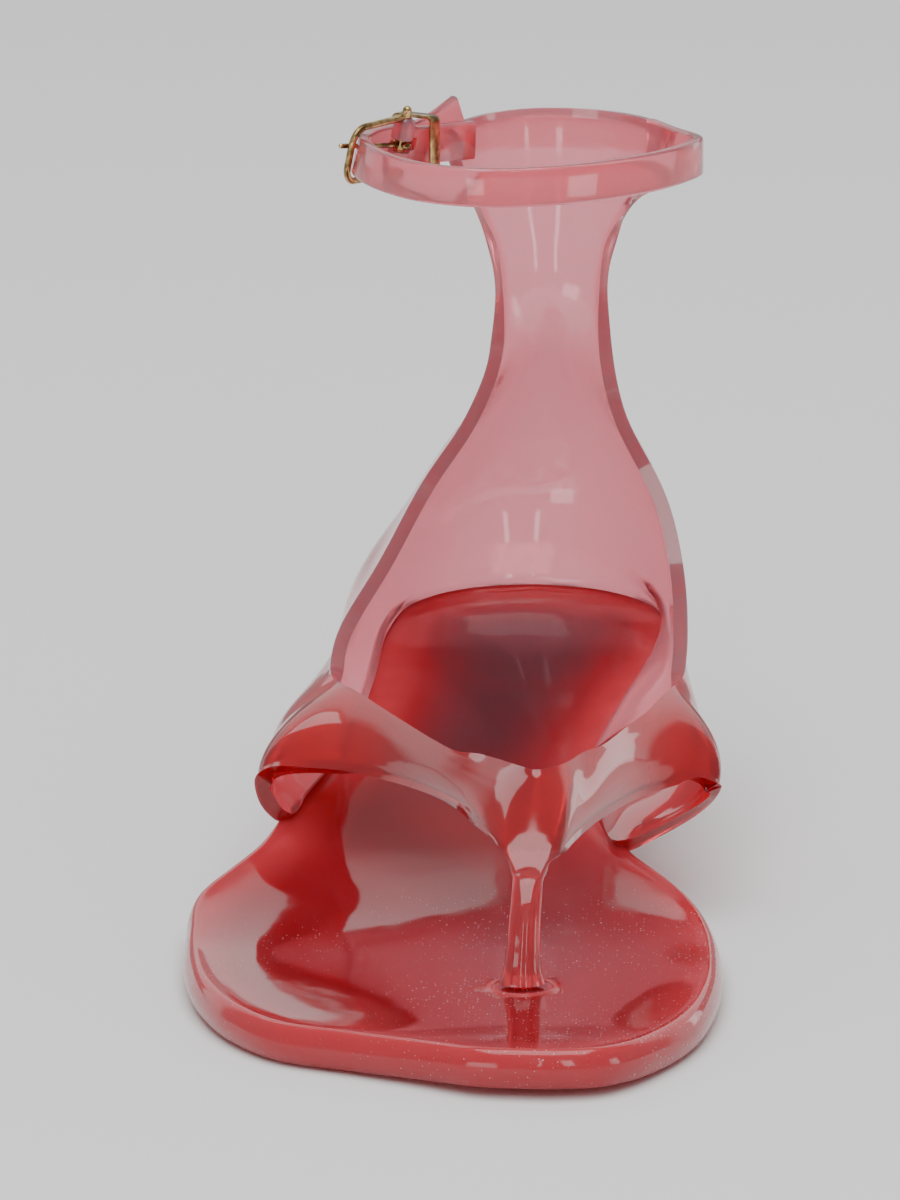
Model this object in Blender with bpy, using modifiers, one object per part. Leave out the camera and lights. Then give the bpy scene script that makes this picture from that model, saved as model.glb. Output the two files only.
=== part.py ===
"""Moulded jelly sandal for the right foot, with a heel counter, thong strap, ankle strap and small heel.

Metres, +Z up. The toe points along -Y and the medial side is +X. The origin lies on the floor under the
middle of the sandal. Tables give each place as shares of the named sizes: across as a share of BALL_WIDTH
from the middle of the sole, along as a share of LENGTH from the toe tip, and up as a share of HEEL_RISE from
the floor, or of COLLAR_HEIGHT where a table says so.
"""

import math

import bmesh
import bpy
import numpy as np

# Driving sizes
LENGTH = 0.242
BALL_WIDTH = 0.100
HEEL_RISE = 0.040
COLLAR_HEIGHT = 0.137
WALL = 0.0020
CLEARANCE = 0.0003
COUNTER_OVERHANG = 0.0046

# Distances for welding: points that coincide, and slivers left by a cut or a join
NO_DISTANCE = 1e-6
SLIVER = 2e-5

# Sole
SOLE_POINTS = 46
SOLE_CROSS = 6
WALL_INSET = 0.0013

# Upper
FRONT_COLUMNS = 25
BACK_COLUMNS = 37
RIBBON_ROWS = 7
COUNTER_ROWS = 20

# Heel
HEEL_TIP_HEIGHT = 0.0050
HEEL_POINTS = 28
HEEL_CROSS = 4

# Toe post
POST_POINTS = 16

# Ankle strap and its buckle
STRAP_HEIGHT = 0.0076
STRAP_THICK = 0.0021
STRAP_EDGE = 0.0007
FRAME_WIRE = 0.0007
FRAME_LENGTH = 0.0168
FRAME_HEIGHT = 0.0112
FRAME_CORNER = 0.0034
BAR_RADIUS = 0.0009
BAR_OVERHANG = 0.0014
EYE_WALL = 0.0010
PRONG_RADIUS = 0.0005
PRONG_OVERHANG = 0.0006
PRONG_RISE = 0.0016
PRONG_SLOT = 0.0026
PRONG_HOLE = (0.25, 0.80)
KEEPER_LENGTH = 0.0030
KEEPER_THICK = 0.0006
KEEPER_PLACE = 0.0068
KEEPER_DEPTH = 0.0084

# Sole outline, from the toe tip along the lateral side to the back of the heel, then along the medial side
OUTLINE_LATERAL = [
    # along, across
    (0.000, 0.190),
    (0.009, 0.060),
    (0.034, -0.030),
    (0.066, -0.160),
    (0.100, -0.305),
    (0.150, -0.392),
    (0.215, -0.452),
    (0.300, -0.490),
    (0.385, -0.500),
    (0.450, -0.494),
    (0.500, -0.438),
    (0.545, -0.382),
    (0.595, -0.336),
    (0.650, -0.280),
    (0.720, -0.235),
    (0.800, -0.208),
    (0.890, -0.188),
    (0.950, -0.145),
    (0.988, -0.030),
    (1.000, 0.115),
]
OUTLINE_MEDIAL = [
    # along, across
    (0.000, 0.190),
    (0.009, 0.296),
    (0.034, 0.350),
    (0.070, 0.398),
    (0.130, 0.456),
    (0.215, 0.492),
    (0.300, 0.500),
    (0.370, 0.490),
    (0.430, 0.460),
    (0.480, 0.405),
    (0.520, 0.345),
    (0.555, 0.300),
    (0.600, 0.268),
    (0.660, 0.262),
    (0.730, 0.300),
    (0.810, 0.362),
    (0.885, 0.402),
    (0.945, 0.375),
    (0.985, 0.255),
    (1.000, 0.115),
]

# Footbed along the middle: its height over the floor and the sole's thickness, both as shares of HEEL_RISE
FOOTBED = [
    # along, height, thickness
    (0.000, 0.230, 0.188),
    (0.070, 0.195, 0.188),
    (0.140, 0.188, 0.188),
    (0.310, 0.188, 0.188),
    (0.360, 0.195, 0.186),
    (0.415, 0.226, 0.181),
    (0.475, 0.287, 0.172),
    (0.545, 0.372, 0.160),
    (0.660, 0.550, 0.150),
    (0.780, 0.750, 0.150),
    (0.885, 0.900, 0.155),
    (1.000, 1.010, 0.160),
]

# Side of the sole, from the bottom to the footbed. The rounding applies where no wall stands on the rim.
SOLE_SIDE = [
    # inset, rounding, height share
    (0.0026, 0.0000, 0.00),
    (0.0011, 0.0000, 0.05),
    (0.0003, 0.0000, 0.22),
    (0.0000, 0.0000, 0.42),
    (0.0000, 0.0001, 0.60),
    (0.0001, 0.0006, 0.80),
    (0.0002, 0.0011, 0.94),
    (0.0004, 0.0017, 1.00),
    (0.0029, 0.0000, 1.00),
    (0.0034, 0.0000, 0.94),
]
WALL_STARTS = (0.52, 0.60)
# Height of the wall's upright foot on the rim, and the share of the wall round the heel over which the swell
# beside each notch fades out
FOOT_HEIGHT = 0.0010
SWELL_FADE = 0.22

# Straps from the middle of the V to the corner of the topline: the low edge, which rounds the notch above the
# sole and then stands on its rim, and the top edge. Up is a share of HEEL_RISE. A low edge that stands on the
# sole has its height from the footbed.
STRAP_LATERAL = [
    # step, low across, low along, low up, top across, top along, top up, bow
    (0.00, 0.148, 0.255, 0.700, 0.157, 0.335, 0.992, 0.0000),
    (0.10, 0.118, 0.262, 0.715, 0.122, 0.352, 0.990, 0.0010),
    (0.22, 0.090, 0.296, 0.752, 0.065, 0.384, 0.985, 0.0008),
    (0.36, 0.010, 0.388, 0.782, 0.003, 0.417, 0.978, 0.0008),
    (0.50, -0.128, 0.500, 0.732, -0.108, 0.525, 0.968, 0.0010),
    (0.63, -0.264, 0.550, 0.690, -0.170, 0.583, 0.970, 0.0014),
    (0.74, -0.356, 0.566, 0.660, -0.205, 0.614, 0.972, 0.0022),
    (0.81, -0.378, 0.567, 0.600, -0.220, 0.626, 0.970, 0.0036),
    (0.87, -0.370, 0.567, 0.530, -0.230, 0.637, 0.967, 0.0055),
    (0.91, -0.356, 0.568, 0.470, -0.236, 0.645, 0.965, 0.0066),
    (0.95, -0.332, 0.572, 0.425, -0.241, 0.652, 0.962, 0.0074),
    (1.00, -0.302, 0.600, 0.470, -0.248, 0.664, 0.958, 0.0080),
]
STRAP_MEDIAL = [
    # step, low across, low along, low up, top across, top along, top up, bow
    (0.00, 0.148, 0.255, 0.700, 0.157, 0.335, 0.992, 0.0000),
    (0.10, 0.179, 0.262, 0.706, 0.195, 0.355, 0.990, 0.0010),
    (0.22, 0.203, 0.292, 0.716, 0.225, 0.392, 0.983, 0.0008),
    (0.36, 0.250, 0.368, 0.720, 0.265, 0.430, 0.978, 0.0008),
    (0.50, 0.324, 0.471, 0.685, 0.310, 0.492, 0.980, 0.0010),
    (0.63, 0.392, 0.522, 0.665, 0.350, 0.541, 0.985, 0.0014),
    (0.74, 0.452, 0.540, 0.665, 0.373, 0.578, 0.988, 0.0022),
    (0.81, 0.482, 0.542, 0.590, 0.387, 0.600, 0.988, 0.0036),
    (0.87, 0.430, 0.536, 0.490, 0.394, 0.613, 0.988, 0.0064),
    (0.91, 0.358, 0.530, 0.400, 0.399, 0.623, 0.988, 0.0084),
    (0.95, 0.298, 0.527, 0.350, 0.403, 0.631, 0.988, 0.0096),
    (1.00, 0.272, 0.560, 0.440, 0.408, 0.645, 0.988, 0.0092),
]
NOTCH_LATERAL = 0.95
NOTCH_MEDIAL = 0.95

# Counter, from the level of the topline's corners to the collar. Up is a share of COLLAR_HEIGHT.
COUNTER = [
    # lateral across, along, up, medial across, along, up, back across, along, up, turn in degrees, belly, and
    # fullness
    (-0.248, 0.664, 0.280, 0.408, 0.645, 0.288, 0.115, 1.008, 0.365, 90.0, 0.0034, 2.50),
    (-0.238, 0.730, 0.322, 0.414, 0.712, 0.322, 0.116, 1.014, 0.425, 90.0, 0.0026, 2.50),
    (-0.165, 0.805, 0.394, 0.407, 0.790, 0.382, 0.120, 1.012, 0.490, 86.0, 0.0016, 2.50),
    (-0.088, 0.864, 0.484, 0.372, 0.854, 0.470, 0.128, 1.002, 0.562, 80.0, 0.0008, 2.50),
    (0.002, 0.908, 0.574, 0.288, 0.909, 0.576, 0.142, 0.983, 0.630, 70.0, 0.0003, 2.40),
    (0.038, 0.929, 0.632, 0.267, 0.929, 0.632, 0.150, 0.970, 0.664, 62.0, 0.0001, 2.24),
    (0.051, 0.946, 0.712, 0.257, 0.946, 0.716, 0.154, 0.962, 0.720, 55.0, 0.0000, 2.10),
    (0.040, 0.954, 0.800, 0.268, 0.954, 0.802, 0.154, 0.967, 0.800, 52.0, 0.0000, 2.04),
    (0.006, 0.954, 0.866, 0.310, 0.952, 0.868, 0.154, 0.973, 0.870, 58.0, 0.0000, 2.16),
    (-0.028, 0.938, 0.925, 0.372, 0.920, 0.922, 0.153, 0.979, 0.936, 66.0, 0.0002, 2.32),
    (-0.050, 0.925, 0.985, 0.402, 0.900, 0.988, 0.150, 0.984, 1.000, 70.0, 0.0004, 2.40),
]

# Centre line of the ankle strap, from inside the collar's medial end across the front, through the buckle's
# frame and back along the outside of the tab to the tail's tip. Up is a share of COLLAR_HEIGHT, lean is in
# degrees.
ANKLE_STRAP = [
    # across, along, up, lean
    (0.352, 0.938, 0.970, 0.0),
    (0.402, 0.898, 0.968, 0.0),
    (0.434, 0.868, 0.970, 0.0),
    (0.446, 0.838, 0.974, 0.0),
    (0.420, 0.800, 0.976, 0.0),
    (0.350, 0.752, 0.976, 0.0),
    (0.245, 0.712, 0.976, 0.0),
    (0.130, 0.690, 0.976, 0.0),
    (0.025, 0.688, 0.976, 0.0),
    (-0.070, 0.709, 0.976, 2.0),
    (-0.146, 0.750, 0.977, 8.0),
    (-0.193, 0.794, 0.979, 14.0),
    (-0.208, 0.836, 0.980, 14.0),
    (-0.186, 0.868, 0.980, 14.0),
    (-0.148, 0.896, 0.976, 10.0),
    (-0.104, 0.922, 0.970, 4.0),
    (-0.064, 0.943, 0.966, 0.0),
    (-0.028, 0.960, 0.965, 0.0),
]
# Centre line of the tab, from inside the collar's lateral end forward to the buckle's bar
BUCKLE_TAB = [
    # across, along, up, lean
    (0.000, 0.944, 0.965, 0.0),
    (-0.052, 0.9225, 0.968, -2.0),
    (-0.094, 0.900, 0.972, -8.0),
    (-0.129, 0.8785, 0.976, -14.0),
]
BUCKLE_MIDDLE = (-0.181, 0.847, 0.980)
BUCKLE_HEADING = 33.6
BUCKLE_LEAN = 14.0
TOE_POST = [
    # across, along, up as a share of HEEL_RISE, half width, half depth
    (0.137, 0.214, 0.197, 0.0042, 0.0036),
    (0.137, 0.215, 0.240, 0.0036, 0.0031),
    (0.139, 0.218, 0.340, 0.0031, 0.0027),
    (0.142, 0.225, 0.480, 0.0030, 0.0026),
    (0.146, 0.237, 0.610, 0.0032, 0.0026),
    (0.149, 0.256, 0.715, 0.0036, 0.0020),
    (0.151, 0.275, 0.785, 0.0030, 0.0012),
]
# Heel, from the floor to the sole
HEEL = [
    # share of height, across, along, half width, half length
    (0.00, 0.115, 0.925, 0.0090, 0.0088),
    (0.15, 0.115, 0.924, 0.0093, 0.0092),
    (0.40, 0.115, 0.920, 0.0108, 0.0110),
    (0.70, 0.115, 0.912, 0.0140, 0.0148),
    (0.90, 0.115, 0.903, 0.0178, 0.0188),
    (1.00, 0.115, 0.896, 0.0205, 0.0215),
]
HEEL_FULLNESS = 2.6


def table(rows):
    """The rows of a table as an array."""
    return np.array(rows, float)


def through(knots, values, at, steady=False):
    """A smooth curve through the values at the knots. A steady one never goes past a knot's value."""
    knots = np.asarray(knots, float)
    values = np.asarray(values, float)
    slopes = np.gradient(values, knots, axis=0)
    if steady:
        steps = np.diff(values, axis=0)
        slopes[1:-1][steps[:-1] * steps[1:] <= 0] = 0.0
    at = np.clip(at, knots[0], knots[-1])
    i = np.clip(np.searchsorted(knots, at, side="right") - 1, 0, len(knots) - 2)
    span = knots[i + 1] - knots[i]
    t = (at - knots[i]) / span
    if values.ndim > 1:
        t = t[:, None]
        span = span[:, None]
    low = values[i] * (2 * t**3 - 3 * t**2 + 1) + slopes[i] * span * (t**3 - 2 * t**2 + t)
    high = values[i + 1] * (3 * t**2 - 2 * t**3) + slopes[i + 1] * span * (t**3 - t**2)
    return low + high


def chord_shares(points):
    """How far along the polyline each point lies, from 0 to 1."""
    steps = np.linalg.norm(np.diff(points, axis=0), axis=1)
    lengths = np.concatenate([[0.0], np.cumsum(steps)])
    return lengths / lengths[-1]


def even_points(line, count):
    """Points at even distances along a polyline."""
    shares = chord_shares(line)
    at = np.linspace(0, 1, count)
    return np.stack([np.interp(at, shares, line[:, k]) for k in range(line.shape[1])], axis=1)


def even_curve(points, count):
    """A smooth curve through the points, as points at even distances."""
    fine = through(chord_shares(points), points, np.linspace(0, 1, 40 * len(points)))
    return even_points(fine, count)


def smooth_step(share):
    """0 below 0, 1 above 1, and an even rise between."""
    share = np.clip(share, 0, 1)
    return share * share * (3 - 2 * share)


def to_size(rows, height):
    """Across, along and up shares as sizes."""
    return table(rows) * np.array([BALL_WIDTH, LENGTH, height])


def bed(along):
    """Height of the footbed over the floor."""
    rows = table(FOOTBED)
    return through(rows[:, 0] * LENGTH, rows[:, 1] * HEEL_RISE, along, steady=True)


def under(along):
    """Height of the sole's underside over the floor."""
    rows = table(FOOTBED)
    return bed(along) - through(rows[:, 0] * LENGTH, rows[:, 2] * HEEL_RISE, along, steady=True)


def sole_sides(count):
    """The sole's outline as two curves from toe tip to heel back, with even steps."""
    scale = np.array([LENGTH, BALL_WIDTH])
    sides = []
    for rows in (OUTLINE_LATERAL, OUTLINE_MEDIAL):
        curve = even_curve(table(rows) * scale, count)
        sides.append(curve[:, ::-1])
    return sides


def sole_loop(count):
    """The sole's outline as one closed loop, with the outward direction at each point."""
    lateral, medial = sole_sides(count)
    loop = np.concatenate([lateral, medial[-2:0:-1]])
    ahead = np.roll(loop, -1, axis=0) - np.roll(loop, 1, axis=0)
    ahead /= np.linalg.norm(ahead, axis=1)[:, None]
    outward = np.stack([-ahead[:, 1], ahead[:, 0]], axis=1)
    return loop, outward


def grid_faces(rows, columns, start, closed=False):
    """Quads of a grid of points stored row by row. A closed grid joins its last column to its first."""
    faces = []
    last = columns if closed else columns - 1
    for row in range(rows - 1):
        for column in range(last):
            after = (column + 1) % columns
            low = start + row * columns
            high = low + columns
            faces.append((low + column, low + after, high + after, high + column))
    return faces


def placed(points):
    """Points moved from the measuring corner at the toe tip to the sandal's own origin."""
    middle = (LENGTH + COUNTER_OVERHANG) / 2
    return np.asarray(points, float) - np.array([0.0, middle, 0.0])


def weld(mesh, distance):
    """Joins points closer than the distance, drops faces without area and turns the rest outward."""
    work = bmesh.new()
    work.from_mesh(mesh)
    bmesh.ops.remove_doubles(work, verts=work.verts, dist=distance)
    bmesh.ops.dissolve_degenerate(work, edges=work.edges, dist=distance)
    bmesh.ops.recalc_face_normals(work, faces=work.faces)
    work.to_mesh(mesh)
    work.free()


def mesh_from_grids(name, grids):
    """One mesh from several grids of points, welded where they meet. A grid is (points, closed)."""
    points = []
    faces = []
    start = 0
    for grid, closed in grids:
        rows, columns = grid.shape[:2]
        faces += grid_faces(rows, columns, start, closed)
        points.append(grid.reshape(-1, 3))
        start += rows * columns
    mesh = bpy.data.meshes.new(name)
    mesh.from_pydata(placed(np.concatenate(points)).tolist(), [], faces)
    weld(mesh, NO_DISTANCE)
    return mesh


def finish(name, mesh, collection, material, sharp_degrees=40):
    """An object of the mesh in the collection, shaded smooth except at its sharp edges."""
    part = bpy.data.objects.new(name, mesh)
    collection.objects.link(part)
    mesh.materials.append(material)
    mesh.shade_smooth()
    mesh.set_sharp_from_angle(angle=math.radians(sharp_degrees))
    return part


def make_material(name, colour, roughness, metallic, transmission):
    """A Principled material."""
    material = bpy.data.materials.new(name)
    material.use_nodes = True
    shader = material.node_tree.nodes["Principled BSDF"]
    shader.inputs["Base Color"].default_value = (*colour, 1.0)
    shader.inputs["Roughness"].default_value = roughness
    shader.inputs["Metallic"].default_value = metallic
    shader.inputs["Transmission Weight"].default_value = transmission
    return material


def sole_mesh():
    """The sole: rings up its side, and a grid across the footbed and across the underside."""
    loop, outward = sole_loop(SOLE_POINTS)
    starts = np.array(WALL_STARTS) * LENGTH
    rings = []
    for inset, rounding, share in SOLE_SIDE:
        free = 1 - smooth_step((loop[:, 1] - starts[0]) / (starts[1] - starts[0]))
        flat = loop - outward * (inset + rounding * free)[:, None]
        low = under(flat[:, 1])
        height = low + share * (bed(flat[:, 1]) - low)
        rings.append(np.column_stack([flat, height]))
    side = np.stack(rings)
    bottom = cap_grid(side[0], SOLE_CROSS, under)
    top = cap_grid(side[-1], SOLE_CROSS, side_top)
    return mesh_from_grids("sole", [(side, True), (bottom, False), (top, False)])


def side_top(along):
    """Height of the footbed inside its rim."""
    low = under(along)
    return low + SOLE_SIDE[-1][2] * (bed(along) - low)


def cap_grid(ring, cross, height=None):
    """A grid across a ring, in rows from one side to the other. Its inside follows the height, if given."""
    half = len(ring) // 2
    one_side = ring[: half + 1]
    other_side = np.concatenate([ring[:1], ring[: half - 1 : -1]])
    shares = np.linspace(0, 1, cross + 1)[None, :, None]
    grid = one_side[:, None, :] * (1 - shares) + other_side[:, None, :] * shares
    if height is not None:
        grid[:, 1:-1, 2] = height(grid[:, 1:-1, 1].ravel()).reshape(grid.shape[0], -1)
    return grid


def oval(count, fullness):
    """Points round an oval of unit size. A fullness of 2 is an ellipse, more is squarer."""
    angle = np.linspace(0, 2 * math.pi, count, endpoint=False)
    power = 2 / fullness
    across = np.sign(np.sin(angle)) * np.abs(np.sin(angle)) ** power
    along = np.sign(np.cos(angle)) * np.abs(np.cos(angle)) ** power
    return np.stack([across, along], axis=1)


def heel_ring(share, floor):
    """A ring of the heel at a share of its height, which follows the sole's underside at its top."""
    rows = table(HEEL)
    across, along, wide, long = through(rows[:, 0], rows[:, 1:], np.array([share]))[0]
    flat = oval(HEEL_POINTS, HEEL_FULLNESS) * np.array([wide, long])
    flat += np.array([across * BALL_WIDTH, along * LENGTH])
    roof = under(flat[:, 1]) - CLEARANCE
    return np.column_stack([flat, floor + share * (roof - floor)])


def heel_mesh():
    """The heel block, from just above its tip to just under the sole."""
    floor = HEEL_TIP_HEIGHT + CLEARANCE
    rings = np.stack([heel_ring(share, floor) for share in np.linspace(0, 1, 9)])
    foot = cap_grid(rings[0], HEEL_CROSS)
    roof = cap_grid(rings[-1], HEEL_CROSS, lambda along: under(along) - CLEARANCE)
    return mesh_from_grids("heel", [(rings, True), (foot, False), (roof, False)])


def heel_tip_mesh():
    """The top piece that the heel stands on, a flat block with the heel's lowest section."""
    _, across, along, wide, long = HEEL[0]
    flat = oval(HEEL_POINTS, HEEL_FULLNESS)
    middle = np.array([across * BALL_WIDTH, along * LENGTH])
    rings = []
    for height, shrink in ((0.0, 0.0005), (0.0005, 0.0), (HEEL_TIP_HEIGHT, 0.0)):
        ring = flat * np.array([wide - shrink, long - shrink]) + middle
        rings.append(np.column_stack([ring, np.full(len(ring), height)]))
    side = np.stack(rings)
    ends = [(cap_grid(side[end], HEEL_CROSS), False) for end in (0, -1)]
    return mesh_from_grids("heel_tip", [(side, True)] + ends)


def counter_row(row, count):
    """One level of the counter, from its lateral edge round the back to its medial edge."""
    lateral = row[0:3]
    medial = row[3:6]
    back = row[6:9]
    turn = math.radians(row[9])
    place = np.linspace(-1, 1, 10 * count)
    power = 2 / row[11]
    side = np.abs(np.sin(turn * place) / math.sin(turn)) ** power
    deep = np.clip((np.cos(turn * place) - math.cos(turn)) / (1 - math.cos(turn)), 0, 1) ** power
    edge = np.where((place < 0)[:, None], lateral, medial)
    across = back[0] + (edge[:, 0] - back[0]) * side
    along = edge[:, 1] + (back[1] - edge[:, 1]) * deep
    up = edge[:, 2] + (back[2] - edge[:, 2]) * smooth_step(1 - np.abs(place))
    push = row[10] * np.sin(math.pi * np.abs(place)) ** 2
    across = across + np.sign(place) * push
    return even_points(np.stack([across, along, up], axis=1), count)


def counter_grid(columns, rows):
    """The counter as a grid of points, from the level of the topline's corners to the collar."""
    sizes = table(COUNTER)
    scale = np.array([BALL_WIDTH, LENGTH, COLLAR_HEIGHT] * 3 + [1.0, 1.0, 1.0])
    sizes = sizes * scale
    knots = chord_shares(sizes[:, 6:9])
    levels = through(knots, sizes, np.linspace(0, 1, rows))
    return np.stack([counter_row(level, columns) for level in levels])


def rim_path(first, last, count):
    """Points on the sole's rim under the wall, from the lateral side round the heel to the medial side."""
    loop, outward = sole_loop(4 * SOLE_POINTS)
    inner = loop - outward * WALL_INSET
    near_first = int(np.argmin(np.linalg.norm(inner - first, axis=1)))
    near_last = int(np.argmin(np.linalg.norm(inner - last, axis=1)))
    path = even_curve(inner[near_first : near_last + 1 : 3], count)
    return np.column_stack([path, bed(path[:, 1]) + CLEARANCE])


def strap_edges(rows, notch, count):
    """Low edge, top edge and bow of one side's strap, from the middle of the V to the corner."""
    sizes = table(rows)
    scale = np.array([1.0] + [BALL_WIDTH, LENGTH, HEEL_RISE] * 2 + [1.0])
    sizes = sizes * scale
    place = np.linspace(0, 1, count)
    curve = through(sizes[:, 0], sizes[:, 1:], place)
    low = curve[:, 0:3]
    stands = place >= notch
    low[stands, 2] = bed(low[stands, 1]) + CLEARANCE
    return low, curve[:, 3:6], curve[:, 6], stands


def ribbon_grid(front, back, rows):
    """The upper's lower part, from the middle of the V round the heel and back to the middle of the V."""
    low_left, top_left, bow_left, stands_left = strap_edges(STRAP_LATERAL, NOTCH_LATERAL, front)
    low_right, top_right, bow_right, stands_right = strap_edges(STRAP_MEDIAL, NOTCH_MEDIAL, front)
    shelf, above = counter_grid(back, COUNTER_ROWS)[:2]
    rim = rim_path(low_left[-1, :2], low_right[-1, :2], back)
    low = np.concatenate([low_left[:-1], rim, low_right[-2::-1]])
    top = np.concatenate([top_left[:-1], shelf, top_right[-2::-1]])
    stands = np.concatenate([stands_left[:-1], np.ones(back, bool), stands_right[-2::-1]])
    place = np.linspace(0, 1, back)
    sag = bow_left[-1] * (1 - smooth_step(place / SWELL_FADE))
    sag += bow_right[-1] * (1 - smooth_step((1 - place) / SWELL_FADE))
    bow = np.concatenate([bow_left[:-1], sag, bow_right[-2::-1]])
    ahead = np.gradient(top, axis=0)
    outward = np.stack([-ahead[:, 1], ahead[:, 0], np.zeros(len(ahead))], axis=1)
    outward /= np.linalg.norm(outward, axis=1)[:, None]
    rise = (top - low) + outward * (4 * bow)[:, None]
    rise[stands] = (0.0, 0.0, 1.0)
    foot = low + rise / np.linalg.norm(rise, axis=1)[:, None] * FOOT_HEIGHT
    leave = np.zeros((len(top), 1))
    leave[front - 1 : front - 1 + back, 0] = smooth_step(np.minimum(place, 1 - place) / SWELL_FADE)
    onward = top - foot
    steps = above - shelf
    lengths = np.linalg.norm(steps, axis=1)[:, None]
    spans = np.linalg.norm(shelf - rim, axis=1)[:, None]
    onward[front - 1 : front - 1 + back] = steps / lengths * spans
    grid = [low]
    for share in np.linspace(0, 1, rows):
        lift = 4 * share * (1 - share)
        bend = share * share * (1 - share) * leave
        level = foot * (1 - share) + top * share + outward * (bow * lift)[:, None]
        grid.append(level + bend * (top - foot - onward))
    return np.stack(grid)


def boolean(part, other, operation):
    """Joins another object to the part, or cuts it out, and removes the other."""
    step = part.modifiers.new(other.name, "BOOLEAN")
    step.operation = operation
    step.solver = "EXACT"
    step.object = other
    graph = bpy.context.evaluated_depsgraph_get()
    result = bpy.data.meshes.new_from_object(part.evaluated_get(graph))
    part.modifiers.clear()
    weld(result, SLIVER)
    part.data = result
    bpy.data.objects.remove(other, do_unlink=True)


def band(name, rows, count, height, thick, edge):
    """A flat strap along a path of across, along, up and lean to the right, its long edges bevelled."""
    scale = np.array([BALL_WIDTH, LENGTH, COLLAR_HEIGHT, 1.0])
    sizes = table(rows) * scale
    knots = chord_shares(sizes[:, :3])
    path = through(knots, sizes, np.linspace(0, 1, count))
    lean = np.radians(path[:, 3])[:, None]
    path = path[:, :3]
    ahead = np.gradient(path, axis=0)
    ahead /= np.linalg.norm(ahead, axis=1)[:, None]
    side = np.cross(ahead, np.array([0.0, 0.0, 1.0]))
    side /= np.linalg.norm(side, axis=1)[:, None]
    rise = np.cross(side, ahead)
    side, rise = side * np.cos(lean) - rise * np.sin(lean), rise * np.cos(lean) + side * np.sin(lean)
    half = height / 2
    deep = thick / 2
    corners = [
        (deep, half - edge),
        (deep - edge, half),
        (edge - deep, half),
        (-deep, half - edge),
        (-deep, edge - half),
        (edge - deep, -half),
        (deep - edge, -half),
        (deep, edge - half),
    ]
    rings = np.stack([path + side * out + rise * up for out, up in corners], axis=1)
    ends = []
    for ring in (rings[0], rings[-1]):
        ends.append(np.stack([ring[[1, 0, 7, 6]], ring[[2, 3, 4, 5]]]))
    return mesh_from_grids(name, [(rings, True)] + [(end, False) for end in ends])


def buckle_axes():
    """Middle of the buckle's frame, and its directions toward the bar, up the frame and off the ankle."""
    middle = to_size([BUCKLE_MIDDLE], COLLAR_HEIGHT)[0]
    heading = math.radians(BUCKLE_HEADING)
    lean = math.radians(BUCKLE_LEAN)
    back = np.array([math.sin(heading), math.cos(heading), 0.0])
    inward = np.array([math.cos(heading), -math.sin(heading), 0.0])
    rise = np.array([0.0, 0.0, math.cos(lean)]) + inward * math.sin(lean)
    return middle, back, rise, np.cross(rise, back)


def on_buckle(back, rise, out=0.0):
    """A point at distances from the middle of the frame."""
    middle, back_way, rise_way, out_way = buckle_axes()
    return middle + back_way * back + rise_way * rise + out_way * out


def arc(middle, radius, first, last, count):
    """Points of an arc in the plane, between two angles in degrees."""
    angles = np.radians(np.linspace(first, last, count))
    return [(middle[0] + radius * math.cos(a), middle[1] + radius * math.sin(a)) for a in angles]


def wire(name, points, radius, collection, material):
    """A round wire along points given in the measuring frame, as a mesh with closed ends."""
    curve = bpy.data.curves.new(name, "CURVE")
    curve.dimensions = "3D"
    curve.bevel_depth = radius
    curve.bevel_resolution = 2
    curve.use_fill_caps = True
    spline = curve.splines.new("POLY")
    spline.points.add(len(points) - 1)
    for point, place in zip(spline.points, placed(points)):
        point.co = (*place, 1.0)
    guide = bpy.data.objects.new(name + " guide", curve)
    collection.objects.link(guide)
    graph = bpy.context.evaluated_depsgraph_get()
    mesh = bpy.data.meshes.new_from_object(guide.evaluated_get(graph))
    mesh.materials.clear()
    bpy.data.objects.remove(guide, do_unlink=True)
    weld(mesh, NO_DISTANCE)
    return finish(name, mesh, collection, material)


def build_frame(collection, material):
    """The buckle's frame: a wire with a rounded outer end and two arms that stop just short of the bar."""
    reach = FRAME_LENGTH / 2
    half = FRAME_HEIGHT / 2
    corner = FRAME_CORNER
    arm_end = reach - BAR_RADIUS - CLEARANCE
    outline = [(arm_end, half)]
    outline += arc((corner - reach, half - corner), corner, 90, 180, 6)
    outline += arc((corner - reach, corner - half), corner, 180, 270, 6)
    outline += [(arm_end, -half)]
    points = [on_buckle(back, rise) for back, rise in outline]
    return wire("buckle_frame", points, FRAME_WIRE, collection, material)


def build_bar(collection, material):
    """The bar that the tab and the prong hang on."""
    half = FRAME_HEIGHT / 2 + BAR_OVERHANG
    reach = FRAME_LENGTH / 2
    points = [on_buckle(reach, -half), on_buckle(reach, half)]
    return wire("buckle_bar", points, BAR_RADIUS, collection, material)


def prong_line():
    """The straight part of the prong, from its ring on the bar to its tip past the frame's outer end."""
    start = on_buckle(FRAME_LENGTH / 2 - BAR_RADIUS - CLEARANCE - PRONG_RADIUS, 0.0)
    rest = FRAME_WIRE + CLEARANCE + PRONG_RADIUS
    over = on_buckle(-FRAME_LENGTH / 2, PRONG_RISE, rest)
    ahead = (over - start) / np.linalg.norm(over - start)
    return start, over + ahead * (FRAME_WIRE + PRONG_OVERHANG)


def build_prong(collection, material):
    """The prong: an open ring round the bar and a straight pin through the strap."""
    radius = BAR_RADIUS + CLEARANCE + PRONG_RADIUS
    ring = arc((FRAME_LENGTH / 2, 0.0), radius, -120, 180, 14)
    points = [on_buckle(back, 0.0, out) for back, out in ring]
    start, tip = prong_line()
    points[-1] = start
    points.append(tip)
    return wire("buckle_prong", points, PRONG_RADIUS, collection, material)


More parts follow.
